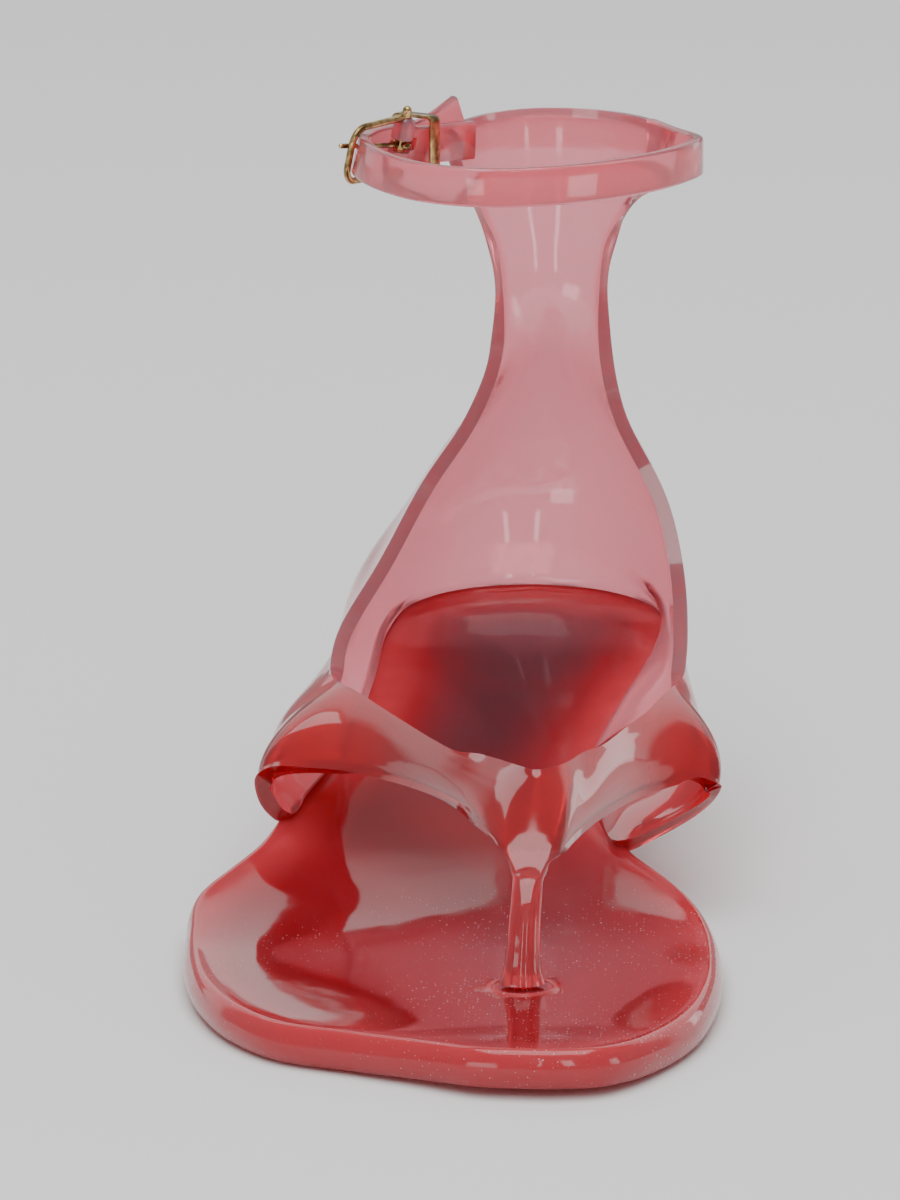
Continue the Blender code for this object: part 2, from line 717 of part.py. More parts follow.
def keeper_mesh():
    """The keeper: a flat metal loop round the tab and the strap's tail."""
    tab = to_size([row[:3] for row in BUCKLE_TAB], COLLAR_HEIGHT)
    ahead = tab[2] - tab[-1]
    ahead[2] = 0.0
    ahead /= np.linalg.norm(ahead)
    outward = np.array([-ahead[1], ahead[0], 0.0])
    middle = tab[-1] + ahead * KEEPER_PLACE
    middle[2] = tab[2:, 2].mean()
    inner = STRAP_THICK / 2 + 4 * CLEARANCE
    shape = []
    for grow in (0.0, KEEPER_THICK):
        near = -inner - grow
        far = KEEPER_DEPTH - inner + grow
        top = STRAP_HEIGHT / 2 + 4 * CLEARANCE + grow
        corner = 0.0006 + grow
        loop = arc((far - corner, top - corner), corner, 0, 90, 4)
        loop += arc((near + corner, top - corner), corner, 90, 180, 4)
        loop += arc((near + corner, corner - top), corner, 180, 270, 4)
        loop += arc((far - corner, corner - top), corner, 270, 360, 4)
        shape.append(loop)
    upright = np.array([0.0, 0.0, 1.0])
    sections = []
    for loop, step in ((shape[0], -1), (shape[1], -1), (shape[1], 1), (shape[0], 1), (shape[0], -1)):
        shift = ahead * step * KEEPER_LENGTH / 2
        sections.append([middle + shift + outward * out + upright * up for out, up in loop])
    return mesh_from_grids("strap_keeper", [(np.array(sections), True)])


def post_mesh():
    """The toe post: oval rings from its foot on the footbed to its top inside the V."""
    rows = table(TOE_POST)
    path = to_size(rows[:, :3], HEEL_RISE)
    levels = through(chord_shares(path), np.column_stack([path, rows[:, 3:]]), np.linspace(0, 1, 13))
    shape = oval(POST_POINTS, 2.2)
    ahead = np.gradient(levels[:, :3], axis=0)
    ahead /= np.linalg.norm(ahead, axis=1)[:, None]
    ahead[0] = (0, 0, 1)
    rings = []
    for level, front in zip(levels, ahead):
        depth = np.cross(front, (1.0, 0.0, 0.0))
        wide = shape[:, :1] * level[3] * np.array([1.0, 0.0, 0.0])
        ring = level[:3] + wide + shape[:, 1:] * level[4] * depth
        rings.append(ring)
    rings = np.stack(rings)
    ends = [(cap_grid(rings[end], HEEL_CROSS), False) for end in (0, -1)]
    return mesh_from_grids("post", [(rings, True)] + ends)


def build_tab(collection, material):
    """The tab that holds the buckle: a short strap that ends in an eye for the bar, slotted for the prong."""
    mesh = band("tab", BUCKLE_TAB, 7, STRAP_HEIGHT, STRAP_THICK, STRAP_EDGE)
    tab = finish("tab", mesh, collection, material)
    reach = FRAME_LENGTH / 2
    half = STRAP_HEIGHT / 2
    hole = BAR_RADIUS + CLEARANCE
    line = [on_buckle(reach, -half), on_buckle(reach, half)]
    eye = wire("eye", line, hole + EYE_WALL, collection, material)
    boolean(tab, eye, "UNION")
    gap = [on_buckle(reach, -PRONG_SLOT / 2), on_buckle(reach, PRONG_SLOT / 2)]
    boolean(tab, wire("prong slot", gap, hole + 2.5 * EYE_WALL, collection, material), "DIFFERENCE")
    bore = [on_buckle(reach, -2 * half), on_buckle(reach, 2 * half)]
    boolean(tab, wire("bar bore", bore, hole, collection, material), "DIFFERENCE")
    return tab


def build_upper(collection, material):
    """The moulded upper: one wall of straps, sides and counter, with the toe post, ankle strap and tab."""
    ribbon = ribbon_grid(FRONT_COLUMNS, BACK_COLUMNS, RIBBON_ROWS)
    grids = [(ribbon, False), (counter_grid(BACK_COLUMNS, COUNTER_ROWS), False)]
    upper = finish("upper", mesh_from_grids("upper", grids), collection, material)
    wall = upper.modifiers.new("wall", "SOLIDIFY")
    wall.thickness = WALL
    wall.offset = 0.0
    strap = band("strap", ANKLE_STRAP, 61, STRAP_HEIGHT, STRAP_THICK, STRAP_EDGE)
    for name, mesh in (("post", post_mesh()), ("strap", strap)):
        boolean(upper, finish(name, mesh, collection, material), "UNION")
    start, tip = prong_line()
    through_strap = [start + (tip - start) * share for share in PRONG_HOLE]
    hole = wire("prong hole", through_strap, PRONG_RADIUS + CLEARANCE, collection, material)
    boolean(upper, hole, "DIFFERENCE")
    boolean(upper, build_tab(collection, material), "UNION")
    upper.data.shade_smooth()
    upper.data.set_sharp_from_angle(angle=math.radians(40))
    return upper


def build():
    """The whole sandal."""
    for old in list(bpy.data.objects):
        bpy.data.objects.remove(old, do_unlink=True)
    sandal = bpy.data.collections.new("jelly_sandal")
    bpy.context.scene.collection.children.link(sandal)
    jelly = make_material("pink moulded PVC", (0.60, 0.13, 0.16), 0.12, 0.0, 0.6)
    lift = make_material("heel tip rubber", (0.24, 0.05, 0.06), 0.45, 0.0, 0.0)
    gold = make_material("gold plated brass", (0.75, 0.50, 0.22), 0.25, 1.0, 0.0)
    finish("sole", sole_mesh(), sandal, jelly)
    finish("heel", heel_mesh(), sandal, jelly)
    finish("heel_tip", heel_tip_mesh(), sandal, lift)
    build_upper(sandal, jelly)
    build_frame(sandal, gold)
    build_bar(sandal, gold)
    build_prong(sandal, gold)
    finish("strap_keeper", keeper_mesh(), sandal, gold)


build()
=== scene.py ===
"""Looks of the moulded jelly sandal: its translucent PVC, its gold buckle, the studio, the camera.

Metres, +Z up, toe along -Y, medial side +X, as in the CAD. The tables give places as shares of the
named sizes: across as a share of BALL_WIDTH, along as a share of LENGTH from the toe tip, up as a
share of HEEL_RISE, or of COLLAR_HEIGHT where a table says so.
"""

import math

import bmesh
import bpy
import numpy as np
from mathutils import Matrix, Vector


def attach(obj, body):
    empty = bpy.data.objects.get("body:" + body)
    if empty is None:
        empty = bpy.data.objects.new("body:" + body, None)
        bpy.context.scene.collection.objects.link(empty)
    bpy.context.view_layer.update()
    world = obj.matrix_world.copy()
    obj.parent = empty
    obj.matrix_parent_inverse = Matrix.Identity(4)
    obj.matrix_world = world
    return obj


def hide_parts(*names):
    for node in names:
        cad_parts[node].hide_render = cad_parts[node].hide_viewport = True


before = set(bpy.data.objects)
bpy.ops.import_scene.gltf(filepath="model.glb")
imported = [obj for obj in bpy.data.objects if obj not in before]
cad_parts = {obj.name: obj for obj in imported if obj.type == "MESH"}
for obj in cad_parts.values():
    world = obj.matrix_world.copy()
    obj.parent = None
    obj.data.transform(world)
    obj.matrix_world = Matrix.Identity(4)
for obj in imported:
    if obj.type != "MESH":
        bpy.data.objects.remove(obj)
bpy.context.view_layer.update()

LENGTH = 0.242
BALL_WIDTH = 0.100
HEEL_RISE = 0.040
COLLAR_HEIGHT = 0.137
WALL = 0.0020
BEAD = 0.0034
CLEARANCE = 0.0003
COUNTER_OVERHANG = 0.0046
WALL_INSET = 0.0013
HEEL_TIP_HEIGHT = 0.0050
STRAP_HEIGHT = 0.0076
STRAP_THICK = 0.0021
STRAP_EDGE = 0.0007
FRAME_WIRE = 0.0007
TUBE_START = (0.3, 0.5, 0.8)  # a direction that no wire starts along
FRAME_LENGTH = 0.0168
FRAME_HEIGHT = 0.0112
FRAME_CORNER = 0.0034
BAR_RADIUS = 0.0009
BAR_OVERHANG = 0.0014
EYE_WALL = 0.0010
PRONG_RADIUS = 0.0005
PRONG_OVERHANG = 0.0006
PRONG_RISE = 0.0016
PRONG_SLOT = 0.0026
KEEPER_LENGTH = 0.0030
KEEPER_THICK = 0.0006
KEEPER_PLACE = 0.0068
KEEPER_DEPTH = 0.0084
KEEPER_CORNER = 0.0006
KEEPER_BREAK = 0.00015
FOOT_HEIGHT = 0.0010
SWELL_FADE = 0.22

# Sole outline, from the toe tip along the lateral side to the back of the heel, then the same way
# along the medial side
OUTLINE_LATERAL = [
    # along, across
    (0.000, 0.190),
    (0.009, 0.060),
    (0.034, -0.030),
    (0.066, -0.160),
    (0.100, -0.305),
    (0.150, -0.392),
    (0.215, -0.452),
    (0.300, -0.490),
    (0.385, -0.500),
    (0.450, -0.494),
    (0.500, -0.438),
    (0.545, -0.382),
    (0.595, -0.336),
    (0.650, -0.280),
    (0.720, -0.235),
    (0.800, -0.208),
    (0.890, -0.188),
    (0.950, -0.145),
    (0.988, -0.030),
    (1.000, 0.115),
]
OUTLINE_MEDIAL = [
    # along, across
    (0.000, 0.190),
    (0.009, 0.296),
    (0.034, 0.350),
    (0.070, 0.398),
    (0.130, 0.456),
    (0.215, 0.492),
    (0.300, 0.500),
    (0.370, 0.490),
    (0.430, 0.460),
    (0.480, 0.405),
    (0.520, 0.345),
    (0.555, 0.300),
    (0.600, 0.268),
    (0.660, 0.262),
    (0.730, 0.300),
    (0.810, 0.362),
    (0.885, 0.402),
    (0.945, 0.375),
    (0.985, 0.255),
    (1.000, 0.115),
]

# Footbed along the middle: its height over the floor and the sole's thickness, both as shares of
# HEEL_RISE
FOOTBED = [
    # along, height, thickness
    (0.000, 0.230, 0.188),
    (0.070, 0.195, 0.188),
    (0.140, 0.188, 0.188),
    (0.310, 0.188, 0.188),
    (0.360, 0.195, 0.186),
    (0.415, 0.226, 0.181),
    (0.475, 0.287, 0.172),
    (0.545, 0.372, 0.160),
    (0.660, 0.550, 0.150),
    (0.780, 0.750, 0.150),
    (0.885, 0.900, 0.155),
    (1.000, 1.010, 0.160),
]

# Side of the sole, from the bottom to the footbed. The rounding applies where no wall stands on
# the rim.
SOLE_SIDE = [
    # inset, rounding, height share
    (0.0026, 0.0000, 0.00),
    (0.0011, 0.0000, 0.05),
    (0.0003, 0.0000, 0.22),
    (0.0000, 0.0000, 0.42),
    (0.0000, 0.0001, 0.60),
    (0.0001, 0.0006, 0.80),
    (0.0002, 0.0011, 0.94),
    (0.0004, 0.0017, 1.00),
    (0.0029, 0.0000, 1.00),
    (0.0034, 0.0000, 0.94),
]
SOLE_POINTS = 92
SOLE_CROSS = 12
WALL_STARTS = (0.52, 0.60)

# Painted shade of the sole, darker away from its outline and most in the raised heel part, where
# less light reaches: how far in from the outline it is full, where its inner part starts and over
# what span, and the same along the sole for the raised part, as shares of LENGTH
SHADE_FULL = 0.016
SHADE_INNER_START = 0.006
SHADE_INNER_SPAN = 0.018
SHADE_RAISED_START = 0.56
SHADE_RAISED_SPAN = 0.16

# Straps from the middle of the V to the corner of the topline: the low edge, which rounds the notch
# above the sole and then stands on its rim, and the top edge. Up is a share of HEEL_RISE. Where a
# low edge stands on the sole, it has its height from the footbed.
STRAP_LATERAL = [
    # step, low across, low along, low up, top across, top along, top up, bow
    (0.00, 0.146, 0.234, 0.600, 0.157, 0.335, 0.992, 0.0000),
    (0.04, 0.122, 0.238, 0.612, 0.144, 0.341, 0.991, 0.0004),
    (0.10, 0.112, 0.254, 0.680, 0.122, 0.352, 0.990, 0.0010),
    (0.16, 0.096, 0.276, 0.728, 0.096, 0.367, 0.988, 0.0010),
    (0.22, 0.074, 0.300, 0.754, 0.065, 0.384, 0.985, 0.0008),
    (0.36, 0.010, 0.388, 0.782, 0.003, 0.417, 0.978, 0.0008),
    (0.50, -0.128, 0.500, 0.732, -0.108, 0.525, 0.968, 0.0010),
    (0.63, -0.264, 0.550, 0.690, -0.170, 0.583, 0.970, 0.0014),
    (0.74, -0.356, 0.566, 0.660, -0.205, 0.614, 0.972, 0.0022),
    (0.81, -0.378, 0.567, 0.600, -0.220, 0.626, 0.970, 0.0036),
    (0.87, -0.370, 0.567, 0.530, -0.230, 0.637, 0.967, 0.0055),
    (0.91, -0.356, 0.568, 0.470, -0.236, 0.645, 0.965, 0.0066),
    (0.95, -0.332, 0.572, 0.425, -0.241, 0.652, 0.962, 0.0074),
    (1.00, -0.302, 0.600, 0.470, -0.248, 0.664, 0.958, 0.0080),
]
STRAP_MEDIAL = [
    # step, low across, low along, low up, top across, top along, top up, bow
    (0.00, 0.146, 0.234, 0.600, 0.157, 0.335, 0.992, 0.0000),
    (0.04, 0.171, 0.238, 0.612, 0.173, 0.342, 0.991, 0.0004),
    (0.10, 0.182, 0.252, 0.672, 0.195, 0.355, 0.990, 0.0010),
    (0.16, 0.194, 0.272, 0.704, 0.211, 0.373, 0.987, 0.0010),
    (0.22, 0.207, 0.294, 0.717, 0.225, 0.392, 0.983, 0.0008),
    (0.36, 0.250, 0.368, 0.720, 0.265, 0.430, 0.978, 0.0008),
    (0.50, 0.324, 0.471, 0.685, 0.310, 0.492, 0.980, 0.0010),
    (0.63, 0.392, 0.522, 0.665, 0.350, 0.541, 0.985, 0.0014),
    (0.74, 0.452, 0.540, 0.665, 0.373, 0.578, 0.988, 0.0022),
    (0.81, 0.482, 0.542, 0.590, 0.387, 0.600, 0.988, 0.0036),
    (0.87, 0.430, 0.536, 0.490, 0.394, 0.613, 0.988, 0.0064),
    (0.91, 0.358, 0.530, 0.400, 0.399, 0.623, 0.988, 0.0084),
    (0.95, 0.298, 0.527, 0.350, 0.403, 0.631, 0.988, 0.0096),
    (1.00, 0.272, 0.560, 0.440, 0.408, 0.645, 0.988, 0.0092),
]
NOTCH = 0.95  # step from which a low edge stands on the sole

# Counter, from the level of the topline's corners to the collar. Up is a share of COLLAR_HEIGHT.
COUNTER = [
    # lateral across, along, up, medial across, along, up, back across, along, up, turn in degrees,
    # belly, fullness
    (-0.248, 0.664, 0.280, 0.408, 0.645, 0.288, 0.115, 1.008, 0.365, 90.0, 0.0034, 2.50),
    (-0.238, 0.730, 0.322, 0.414, 0.712, 0.322, 0.116, 1.014, 0.425, 90.0, 0.0026, 2.50),
    (-0.165, 0.805, 0.394, 0.407, 0.790, 0.382, 0.120, 1.012, 0.490, 86.0, 0.0016, 2.50),
    (-0.088, 0.864, 0.484, 0.372, 0.854, 0.470, 0.128, 1.002, 0.562, 80.0, 0.0008, 2.50),
    (0.002, 0.908, 0.574, 0.288, 0.909, 0.576, 0.142, 0.983, 0.630, 70.0, 0.0003, 2.40),
    (0.038, 0.929, 0.632, 0.267, 0.929, 0.632, 0.150, 0.970, 0.664, 62.0, 0.0001, 2.24),
    (0.051, 0.946, 0.712, 0.257, 0.946, 0.716, 0.154, 0.962, 0.720, 55.0, 0.0000, 2.10),
    (0.040, 0.954, 0.800, 0.268, 0.954, 0.802, 0.154, 0.967, 0.800, 52.0, 0.0000, 2.04),
    (0.006, 0.954, 0.866, 0.310, 0.952, 0.868, 0.154, 0.973, 0.870, 58.0, 0.0000, 2.16),
    (-0.028, 0.938, 0.925, 0.372, 0.920, 0.922, 0.153, 0.979, 0.936, 66.0, 0.0002, 2.32),
    (-0.050, 0.925, 0.985, 0.402, 0.900, 0.988, 0.150, 0.984, 1.000, 70.0, 0.0004, 2.40),
]

# Centre line of the ankle strap, from inside the collar's medial end across the front, through the
# buckle's frame and back along the outside of the tab to the tail's tip. Up is a share of
# COLLAR_HEIGHT, lean is in degrees.
ANKLE_STRAP = [
    # across, along, up, lean
    (0.352, 0.938, 0.970, 0.0),
    (0.402, 0.898, 0.968, 0.0),
    (0.434, 0.868, 0.970, 0.0),
    (0.446, 0.838, 0.974, 0.0),
    (0.420, 0.800, 0.976, 0.0),
    (0.350, 0.752, 0.976, 0.0),
    (0.245, 0.712, 0.976, 0.0),
    (0.130, 0.690, 0.976, 0.0),
    (0.025, 0.688, 0.976, 0.0),
    (-0.070, 0.709, 0.976, 2.0),
    (-0.146, 0.750, 0.977, 8.0),
    (-0.193, 0.794, 0.979, 14.0),
    (-0.208, 0.836, 0.980, 14.0),
    (-0.186, 0.868, 0.980, 14.0),
    (-0.148, 0.896, 0.976, 10.0),
    (-0.104, 0.922, 0.974, 4.0),
    (-0.064, 0.943, 0.984, 0.0),
    (-0.028, 0.960, 1.000, 0.0),
]
# Centre line of the tab, from inside the collar's lateral end forward to the buckle's bar
BUCKLE_TAB = [
    # across, along, up, lean
    (0.000, 0.944, 0.965, 0.0),
    (-0.052, 0.9225, 0.968, -2.0),
    (-0.094, 0.900, 0.972, -8.0),
    (-0.129, 0.8785, 0.976, -14.0),
]
STRAP_STEPS = 181
TAB_STEPS = 31
# Middle of the buckle's frame, and its heading and lean in degrees
BUCKLE_MIDDLE = (-0.181, 0.847, 0.980)
BUCKLE_HEADING = 33.6
BUCKLE_LEAN = 14.0
# Centre line of the toe post, from inside the sole to inside the V
TOE_POST = [
    # across, along, up as a share of HEEL_RISE, half width, half depth
    (0.137, 0.214, 0.197, 0.0042, 0.0036),
    (0.137, 0.215, 0.240, 0.0036, 0.0031),
    (0.139, 0.218, 0.340, 0.0031, 0.0027),
    (0.142, 0.225, 0.480, 0.0030, 0.0026),
    (0.1445, 0.2315, 0.560, 0.0030, 0.0023),
    (0.146, 0.2385, 0.620, 0.0029, 0.0017),
    (0.147, 0.2500, 0.665, 0.0022, 0.0008),
]
POST_STEPS = 49
POST_POINTS = 32
POST_FULLNESS = 2.2
# Section of the ring round the post's foot, over the footbed
FOOT_RING = [
    # radius, rise
    (0.0055, -0.0006),
    (0.0055, 0.0001),
    (0.0057, 0.0003),
    (0.0065, 0.0003),
    (0.0068, 0.0000),
    (0.0068, -0.0006),
    (0.0055, -0.0006),
]
FOOT_RING_POINTS = 64
# Heel, from the floor to the sole
HEEL = [
    # share of height, across, along, half width, half length
    (0.00, 0.115, 0.925, 0.0090, 0.0088),
    (0.15, 0.115, 0.924, 0.0093, 0.0092),
    (0.40, 0.115, 0.920, 0.0108, 0.0110),
    (0.70, 0.115, 0.912, 0.0140, 0.0148),
    (0.90, 0.115, 0.903, 0.0178, 0.0188),
    (1.00, 0.115, 0.896, 0.0205, 0.0215),
]
HEEL_FULLNESS = 2.6
HEEL_POINTS = 56
HEEL_CROSS = 8
HEEL_STEPS = 25
HEEL_SINK = 0.0020
# Broken lower edge of the heel's top piece
HEEL_TIP_EDGE = [
    # height, shrink
    (0.0000, 0.0006),
    (0.0002, 0.0002),
    (0.0006, 0.0000),
    (HEEL_TIP_HEIGHT, 0.0000),
]

# Sheet of the upper: points along one strap and round the back, rows below the topline's corners
# and above them, how often its points are smoothed, and the rounding of its edges
SHEET_STRAP = 49
SHEET_BACK = 97
SHEET_LOW = 17
SHEET_HIGH = 56
SHEET_SMOOTHING = 14
SHEET_ROUNDING = 0.00085
# Beads on the sheet's open edges: how far each reaches, and how thick and red it is, from 0 to 1
LOW_REACH = 0.0016
LOW_RED = 0.9
TOP_REACH = 0.0011
TOP_THICK = 0.25
TOP_RED = 0.8
SIDE_REACH = 0.0013
SIDE_THICK = 0.5
SIDE_RED = 0.3
# Thickness of the straps between their beads, from 0 to 1, and how much it swells in their middle
STRAP_BODY = 0.30
STRAP_SWELL = 1.2
# Shares of a strap's length, from the middle of the V: where its thickness and red start to fade
# and over what span, the same for its top bead, and where it comes out of the post
STRAP_FADE = (0.80, 0.55)
TOP_BEAD_FADE = (0.90, 0.20)
OUT_OF_POST = (0.06, 0.12)
POST_THINNING = 0.004
# Join of the V with the post, whose creases are melted: its middle, its reach and how often its
# points move
JOIN_MIDDLE = (0.0146, 0.0590, 0.0250)
JOIN_REACH = 0.011
JOIN_STEPS = 26
# How red the post and the ankle strap look: the post out to a reach and a little above its top, and
# the strap from the low edge of its level, as a share of COLLAR_HEIGHT
POST_RED = 0.8
POST_RED_REACH = 0.005
POST_RED_FADE = 0.004
POST_RED_ABOVE = 0.003
STRAP_RED = 0.25
STRAP_RED_FADE = 0.0005
STRAP_LEVEL = 0.976

# Colours, in steps of (share, colour)
THIN_STEPS = [(0.0, "#FCB2BE"), (0.5, "#E87580"), (1.0, "#CA2935")]
# The thick PVC's own red at 0, then painted shade down to grey-brown deep in the sole
THICK_SHADE_STEPS = [(0.0, "#CE424B"), (0.5, "#9E1F28"), (1.0, "#5E2D35")]
GOLD_STEPS = [(0.36, "#6B5535"), (0.52, "#B39664"), (0.70, "#D9C08A")]
# The sweep's grey, paler at its far end as painted light where the lamps reach less
SWEEP_STEPS = [(0.0, "#D2D2D2"), (1.0, "#E4E4E4")]
# Patterns: one wave, cell, patch or grain in millimetres. The dust's cells and the rubber's grain
# are drawn as coarse as they need to show.
FLOW_WAVE = 18.18
DUST_CELL = 0.6667
DUST_DRIFT = 41.67
WEAR_PATCH = 2.381
RUBBER_GRAIN = 0.6667

# Sweep: its front edge, where its floor starts to bend, the bend's radius, the upright's height,
# the half width, and the shares of its line at which the bend starts and ends
SWEEP_FRONT = -3.0
SWEEP_BEND = 6.0
SWEEP_RADIUS = 1.2
SWEEP_WALL = 0.5
SWEEP_HALF_WIDTH = 5.0
BEND_STARTS = 0.60
BEND_ENDS = 0.85
# Room: its brightness and the bright wall's, and the heights and depths of direction over which the
# wall fades
ROOM_BRIGHTNESS = 0.42
WALL_BRIGHTNESS = 1.15
WALL_TOP = (0.57, 0.62)
WALL_SIDES = (0.60, 0.66)
# Lamps: low panels and upright strips in front, softboxes behind and overhead, and a fill
LAMPS = [
    # name, place, aim, brightness, width, height
    ("panel_left", (-0.178, -0.348, 0.062), (0.0, 0.042, 0.062), 3.0, 0.18, 0.09),
    ("panel_right", (0.335, -0.133, 0.062), (0.02, 0.047, 0.062), 3.0, 0.10, 0.09),
    ("strip_left", (-0.085, -1.086, 0.42), (0.014, 0.110, 0.42), 4.4, 0.06, 0.36),
    ("strip_right", (0.274, -1.06, 0.42), (0.014, 0.110, 0.42), 4.4, 0.06, 0.36),
    ("softbox_back_left", (-0.48, 0.64, 0.89), (0.0, 0.0, 0.03), 2.4, 0.26, 0.40),
    ("softbox_back_right", (0.78, 0.96, 0.15), (0.0, 0.0, 0.03), 1.7, 0.20, 0.30),
    ("softbox_fill", (0.1, -2.2, 1.7), (0.0, 0.0, 0.05), 6.5, 1.6, 1.0),
    ("softbox_top", (0.0, -0.9, 3.0), (0.0, -0.9, 0.0), 4.2, 3.0, 3.0),
]
# Camera: the photo's size, focal length and aim in pixels, the zoom, the sensor in millimetres, the
# tilt in degrees and the place
PHOTO_WIDTH = 900
PHOTO_HEIGHT = 1200
PHOTO_FOCAL = 6700.0
PHOTO_AIM = (223.5, 783.0)
PHOTO_ZOOM = 1.40
SENSOR = 36.0
CAMERA_TILT = 11.0
CAMERA_PLACE = (0.058, -1.7143, 0.445)


def table(rows):
    """The rows of a table as an array."""
    return np.array(rows, float)


def through(knots, values, at, steady=False):
    """A smooth curve through the values at the knots: cubics with the mean slopes. A steady one is
    level at its peaks, so that it never goes past a knot's value."""
    knots = np.asarray(knots, float)
    values = np.asarray(values, float)
    slopes = np.gradient(values, knots, axis=0)
    if steady:
        steps = np.diff(values, axis=0)
        slopes[1:-1][steps[:-1] * steps[1:] <= 0] = 0.0
    at = np.clip(at, knots[0], knots[-1])
    i = np.clip(np.searchsorted(knots, at, side="right") - 1, 0, len(knots) - 2)
    span = knots[i + 1] - knots[i]
    t = (at - knots[i]) / span
    if values.ndim > 1:
        t = t[:, None]
        span = span[:, None]
    low = values[i] * (2 * t**3 - 3 * t**2 + 1) + slopes[i] * span * (t**3 - 2 * t**2 + t)
    high = values[i + 1] * (3 * t**2 - 2 * t**3) + slopes[i + 1] * span * (t**3 - t**2)
    return low + high


def chord_shares(points):
    """How far along the polyline each point lies, from 0 to 1."""
    steps = np.linalg.norm(np.diff(points, axis=0), axis=1)
    lengths = np.concatenate([[0.0], np.cumsum(steps)])
    return lengths / lengths[-1]


def even_points(line, count):
    """Points at even distances along a polyline."""
    shares = chord_shares(line)
    at = np.linspace(0, 1, count)
    return np.stack([np.interp(at, shares, line[:, k]) for k in range(line.shape[1])], axis=1)


def even_curve(points, count):
    """A smooth curve through the points, as points at even distances."""
    fine = through(chord_shares(points), points, np.linspace(0, 1, 40 * len(points)))
    return even_points(fine, count)


def unit(ways):
    """Directions scaled to a length of 1."""
    return ways / np.linalg.norm(ways, axis=-1, keepdims=True)


def smooth_step(share):
    """0 below 0, 1 above 1, and an even rise between."""
    share = np.clip(share, 0, 1)
    return share * share * (3 - 2 * share)


def to_size(rows, height):
    """Across, along and up shares as sizes."""
    return table(rows) * np.array([BALL_WIDTH, LENGTH, height])


def bed(along):
    """Height of the footbed over the floor."""
    rows = table(FOOTBED)
    return through(rows[:, 0] * LENGTH, rows[:, 1] * HEEL_RISE, along, steady=True)


def under(along):
    """Height of the sole's underside over the floor."""
    rows = table(FOOTBED)
    return bed(along) - through(rows[:, 0] * LENGTH, rows[:, 2] * HEEL_RISE, along, steady=True)


def sole_loop(count):
    """The sole's outline as one closed loop, with the outward direction at each point. Each side is
    a smooth curve from toe tip to heel back, with even steps."""
    scale = np.array([LENGTH, BALL_WIDTH])
    lateral, medial = (
        even_curve(table(rows) * scale, count)[:, ::-1]
        for rows in (OUTLINE_LATERAL, OUTLINE_MEDIAL)
    )
    loop = np.concatenate([lateral, medial[-2:0:-1]])
    ahead = unit(np.roll(loop, -1, axis=0) - np.roll(loop, 1, axis=0))
    outward = np.stack([-ahead[:, 1], ahead[:, 0]], axis=1)
    return loop, outward


def placed(points):
    """Points moved from the measuring corner at the toe tip to the sandal's own origin."""
    return np.asarray(points, float) - np.array([0.0, (LENGTH + COUNTER_OVERHANG) / 2, 0.0])


def linear(code):
    """An sRGB hex colour as linear red, green and blue."""
    parts = [int(code[i : i + 2], 16) / 255 for i in (1, 3, 5)]
    return tuple(c / 12.92 if c <= 0.04045 else ((c + 0.055) / 1.055) ** 2.4 for c in parts)


def grid_faces(rows, columns, start, closed=False):
    """Quads of a grid of points stored row by row. A closed grid joins its last column to its
    first."""
    across = columns if closed else columns - 1
    row, column = np.meshgrid(np.arange(rows - 1), np.arange(across), indexing="ij")
    low = start + row * columns
    high = low + columns
    after = (column + 1) % columns
    quads = np.stack([low + column, low + after, high + after, high + column], axis=-1)
    return quads.reshape(-1, 4).tolist()


def weld(mesh, distance=1e-6):
    """Joins coinciding points, drops faces without area and turns the rest outward."""
    work = bmesh.new()
    work.from_mesh(mesh)
    bmesh.ops.remove_doubles(work, verts=work.verts, dist=distance)
    bmesh.ops.dissolve_degenerate(work, edges=work.edges, dist=distance)
    bmesh.ops.recalc_face_normals(work, faces=work.faces)
    work.to_mesh(mesh)
    work.free()


def add_object(name, data):
    """A new object in the scene, at the origin."""
    new = bpy.data.objects.new(name, data)
    bpy.context.scene.collection.objects.link(new)
    return new


def piece_from_grids(name, grids, **values):
    """One object from several grids of points, welded where they meet. A grid is (points, closed),
    and each value is a number for all points, or a list of arrays, kept as an attribute."""
    points = []
    faces = []
    start = 0
    for grid, closed in grids:
        rows, columns = grid.shape[:2]
        faces += grid_faces(rows, columns, start, closed)
        points.append(grid.reshape(-1, 3))
        start += rows * columns
    mesh = bpy.data.meshes.new(name)
    mesh.from_pydata(placed(np.concatenate(points)).tolist(), [], faces)
    for key, value in values.items():
        if isinstance(value, list):
            value = np.concatenate([part.ravel() for part in value])
        kept = mesh.attributes.new(key, "FLOAT", "POINT")
        kept.data.foreach_set("value", np.broadcast_to(value, start).astype(np.float32))
    weld(mesh)
    return add_object(name, mesh)


def capped_piece(name, rings, cross, **values):
    """One object from rings that follow each other, closed by a grid across the first and last."""
    ends = [(cap_grid(rings[end], cross), False) for end in (0, -1)]
    return piece_from_grids(name, [(rings, True)] + ends, **values)


def modify(piece, kind, **settings):
    """Adds a modifier with its settings."""
    step = piece.modifiers.new(kind.lower(), kind)
    for key, value in settings.items():
        setattr(step, key, value)


def round_edges(piece, width, segments, degrees):
    """Rounds the edges that are sharper than the angle."""
    angle = math.radians(degrees)
    modify(
        piece, "BEVEL", width=width, segments=segments, limit_method="ANGLE", angle_limit=angle
    )


def apply_modifiers(piece):
    """The piece's modifiers worked into its mesh."""
    graph = bpy.context.evaluated_depsgraph_get()
    mesh = bpy.data.meshes.new_from_object(piece.evaluated_get(graph))
    piece.modifiers.clear()
    piece.data = mesh


def join_solid(piece, other, operation="UNION"):
    """Joins another closed piece to this one, or cuts it out, and removes the other."""
    modify(piece, "BOOLEAN", operation=operation, solver="EXACT", object=other)
    apply_modifiers(piece)
    weld(piece.data, 1e-5)
    bpy.data.objects.remove(other, do_unlink=True)


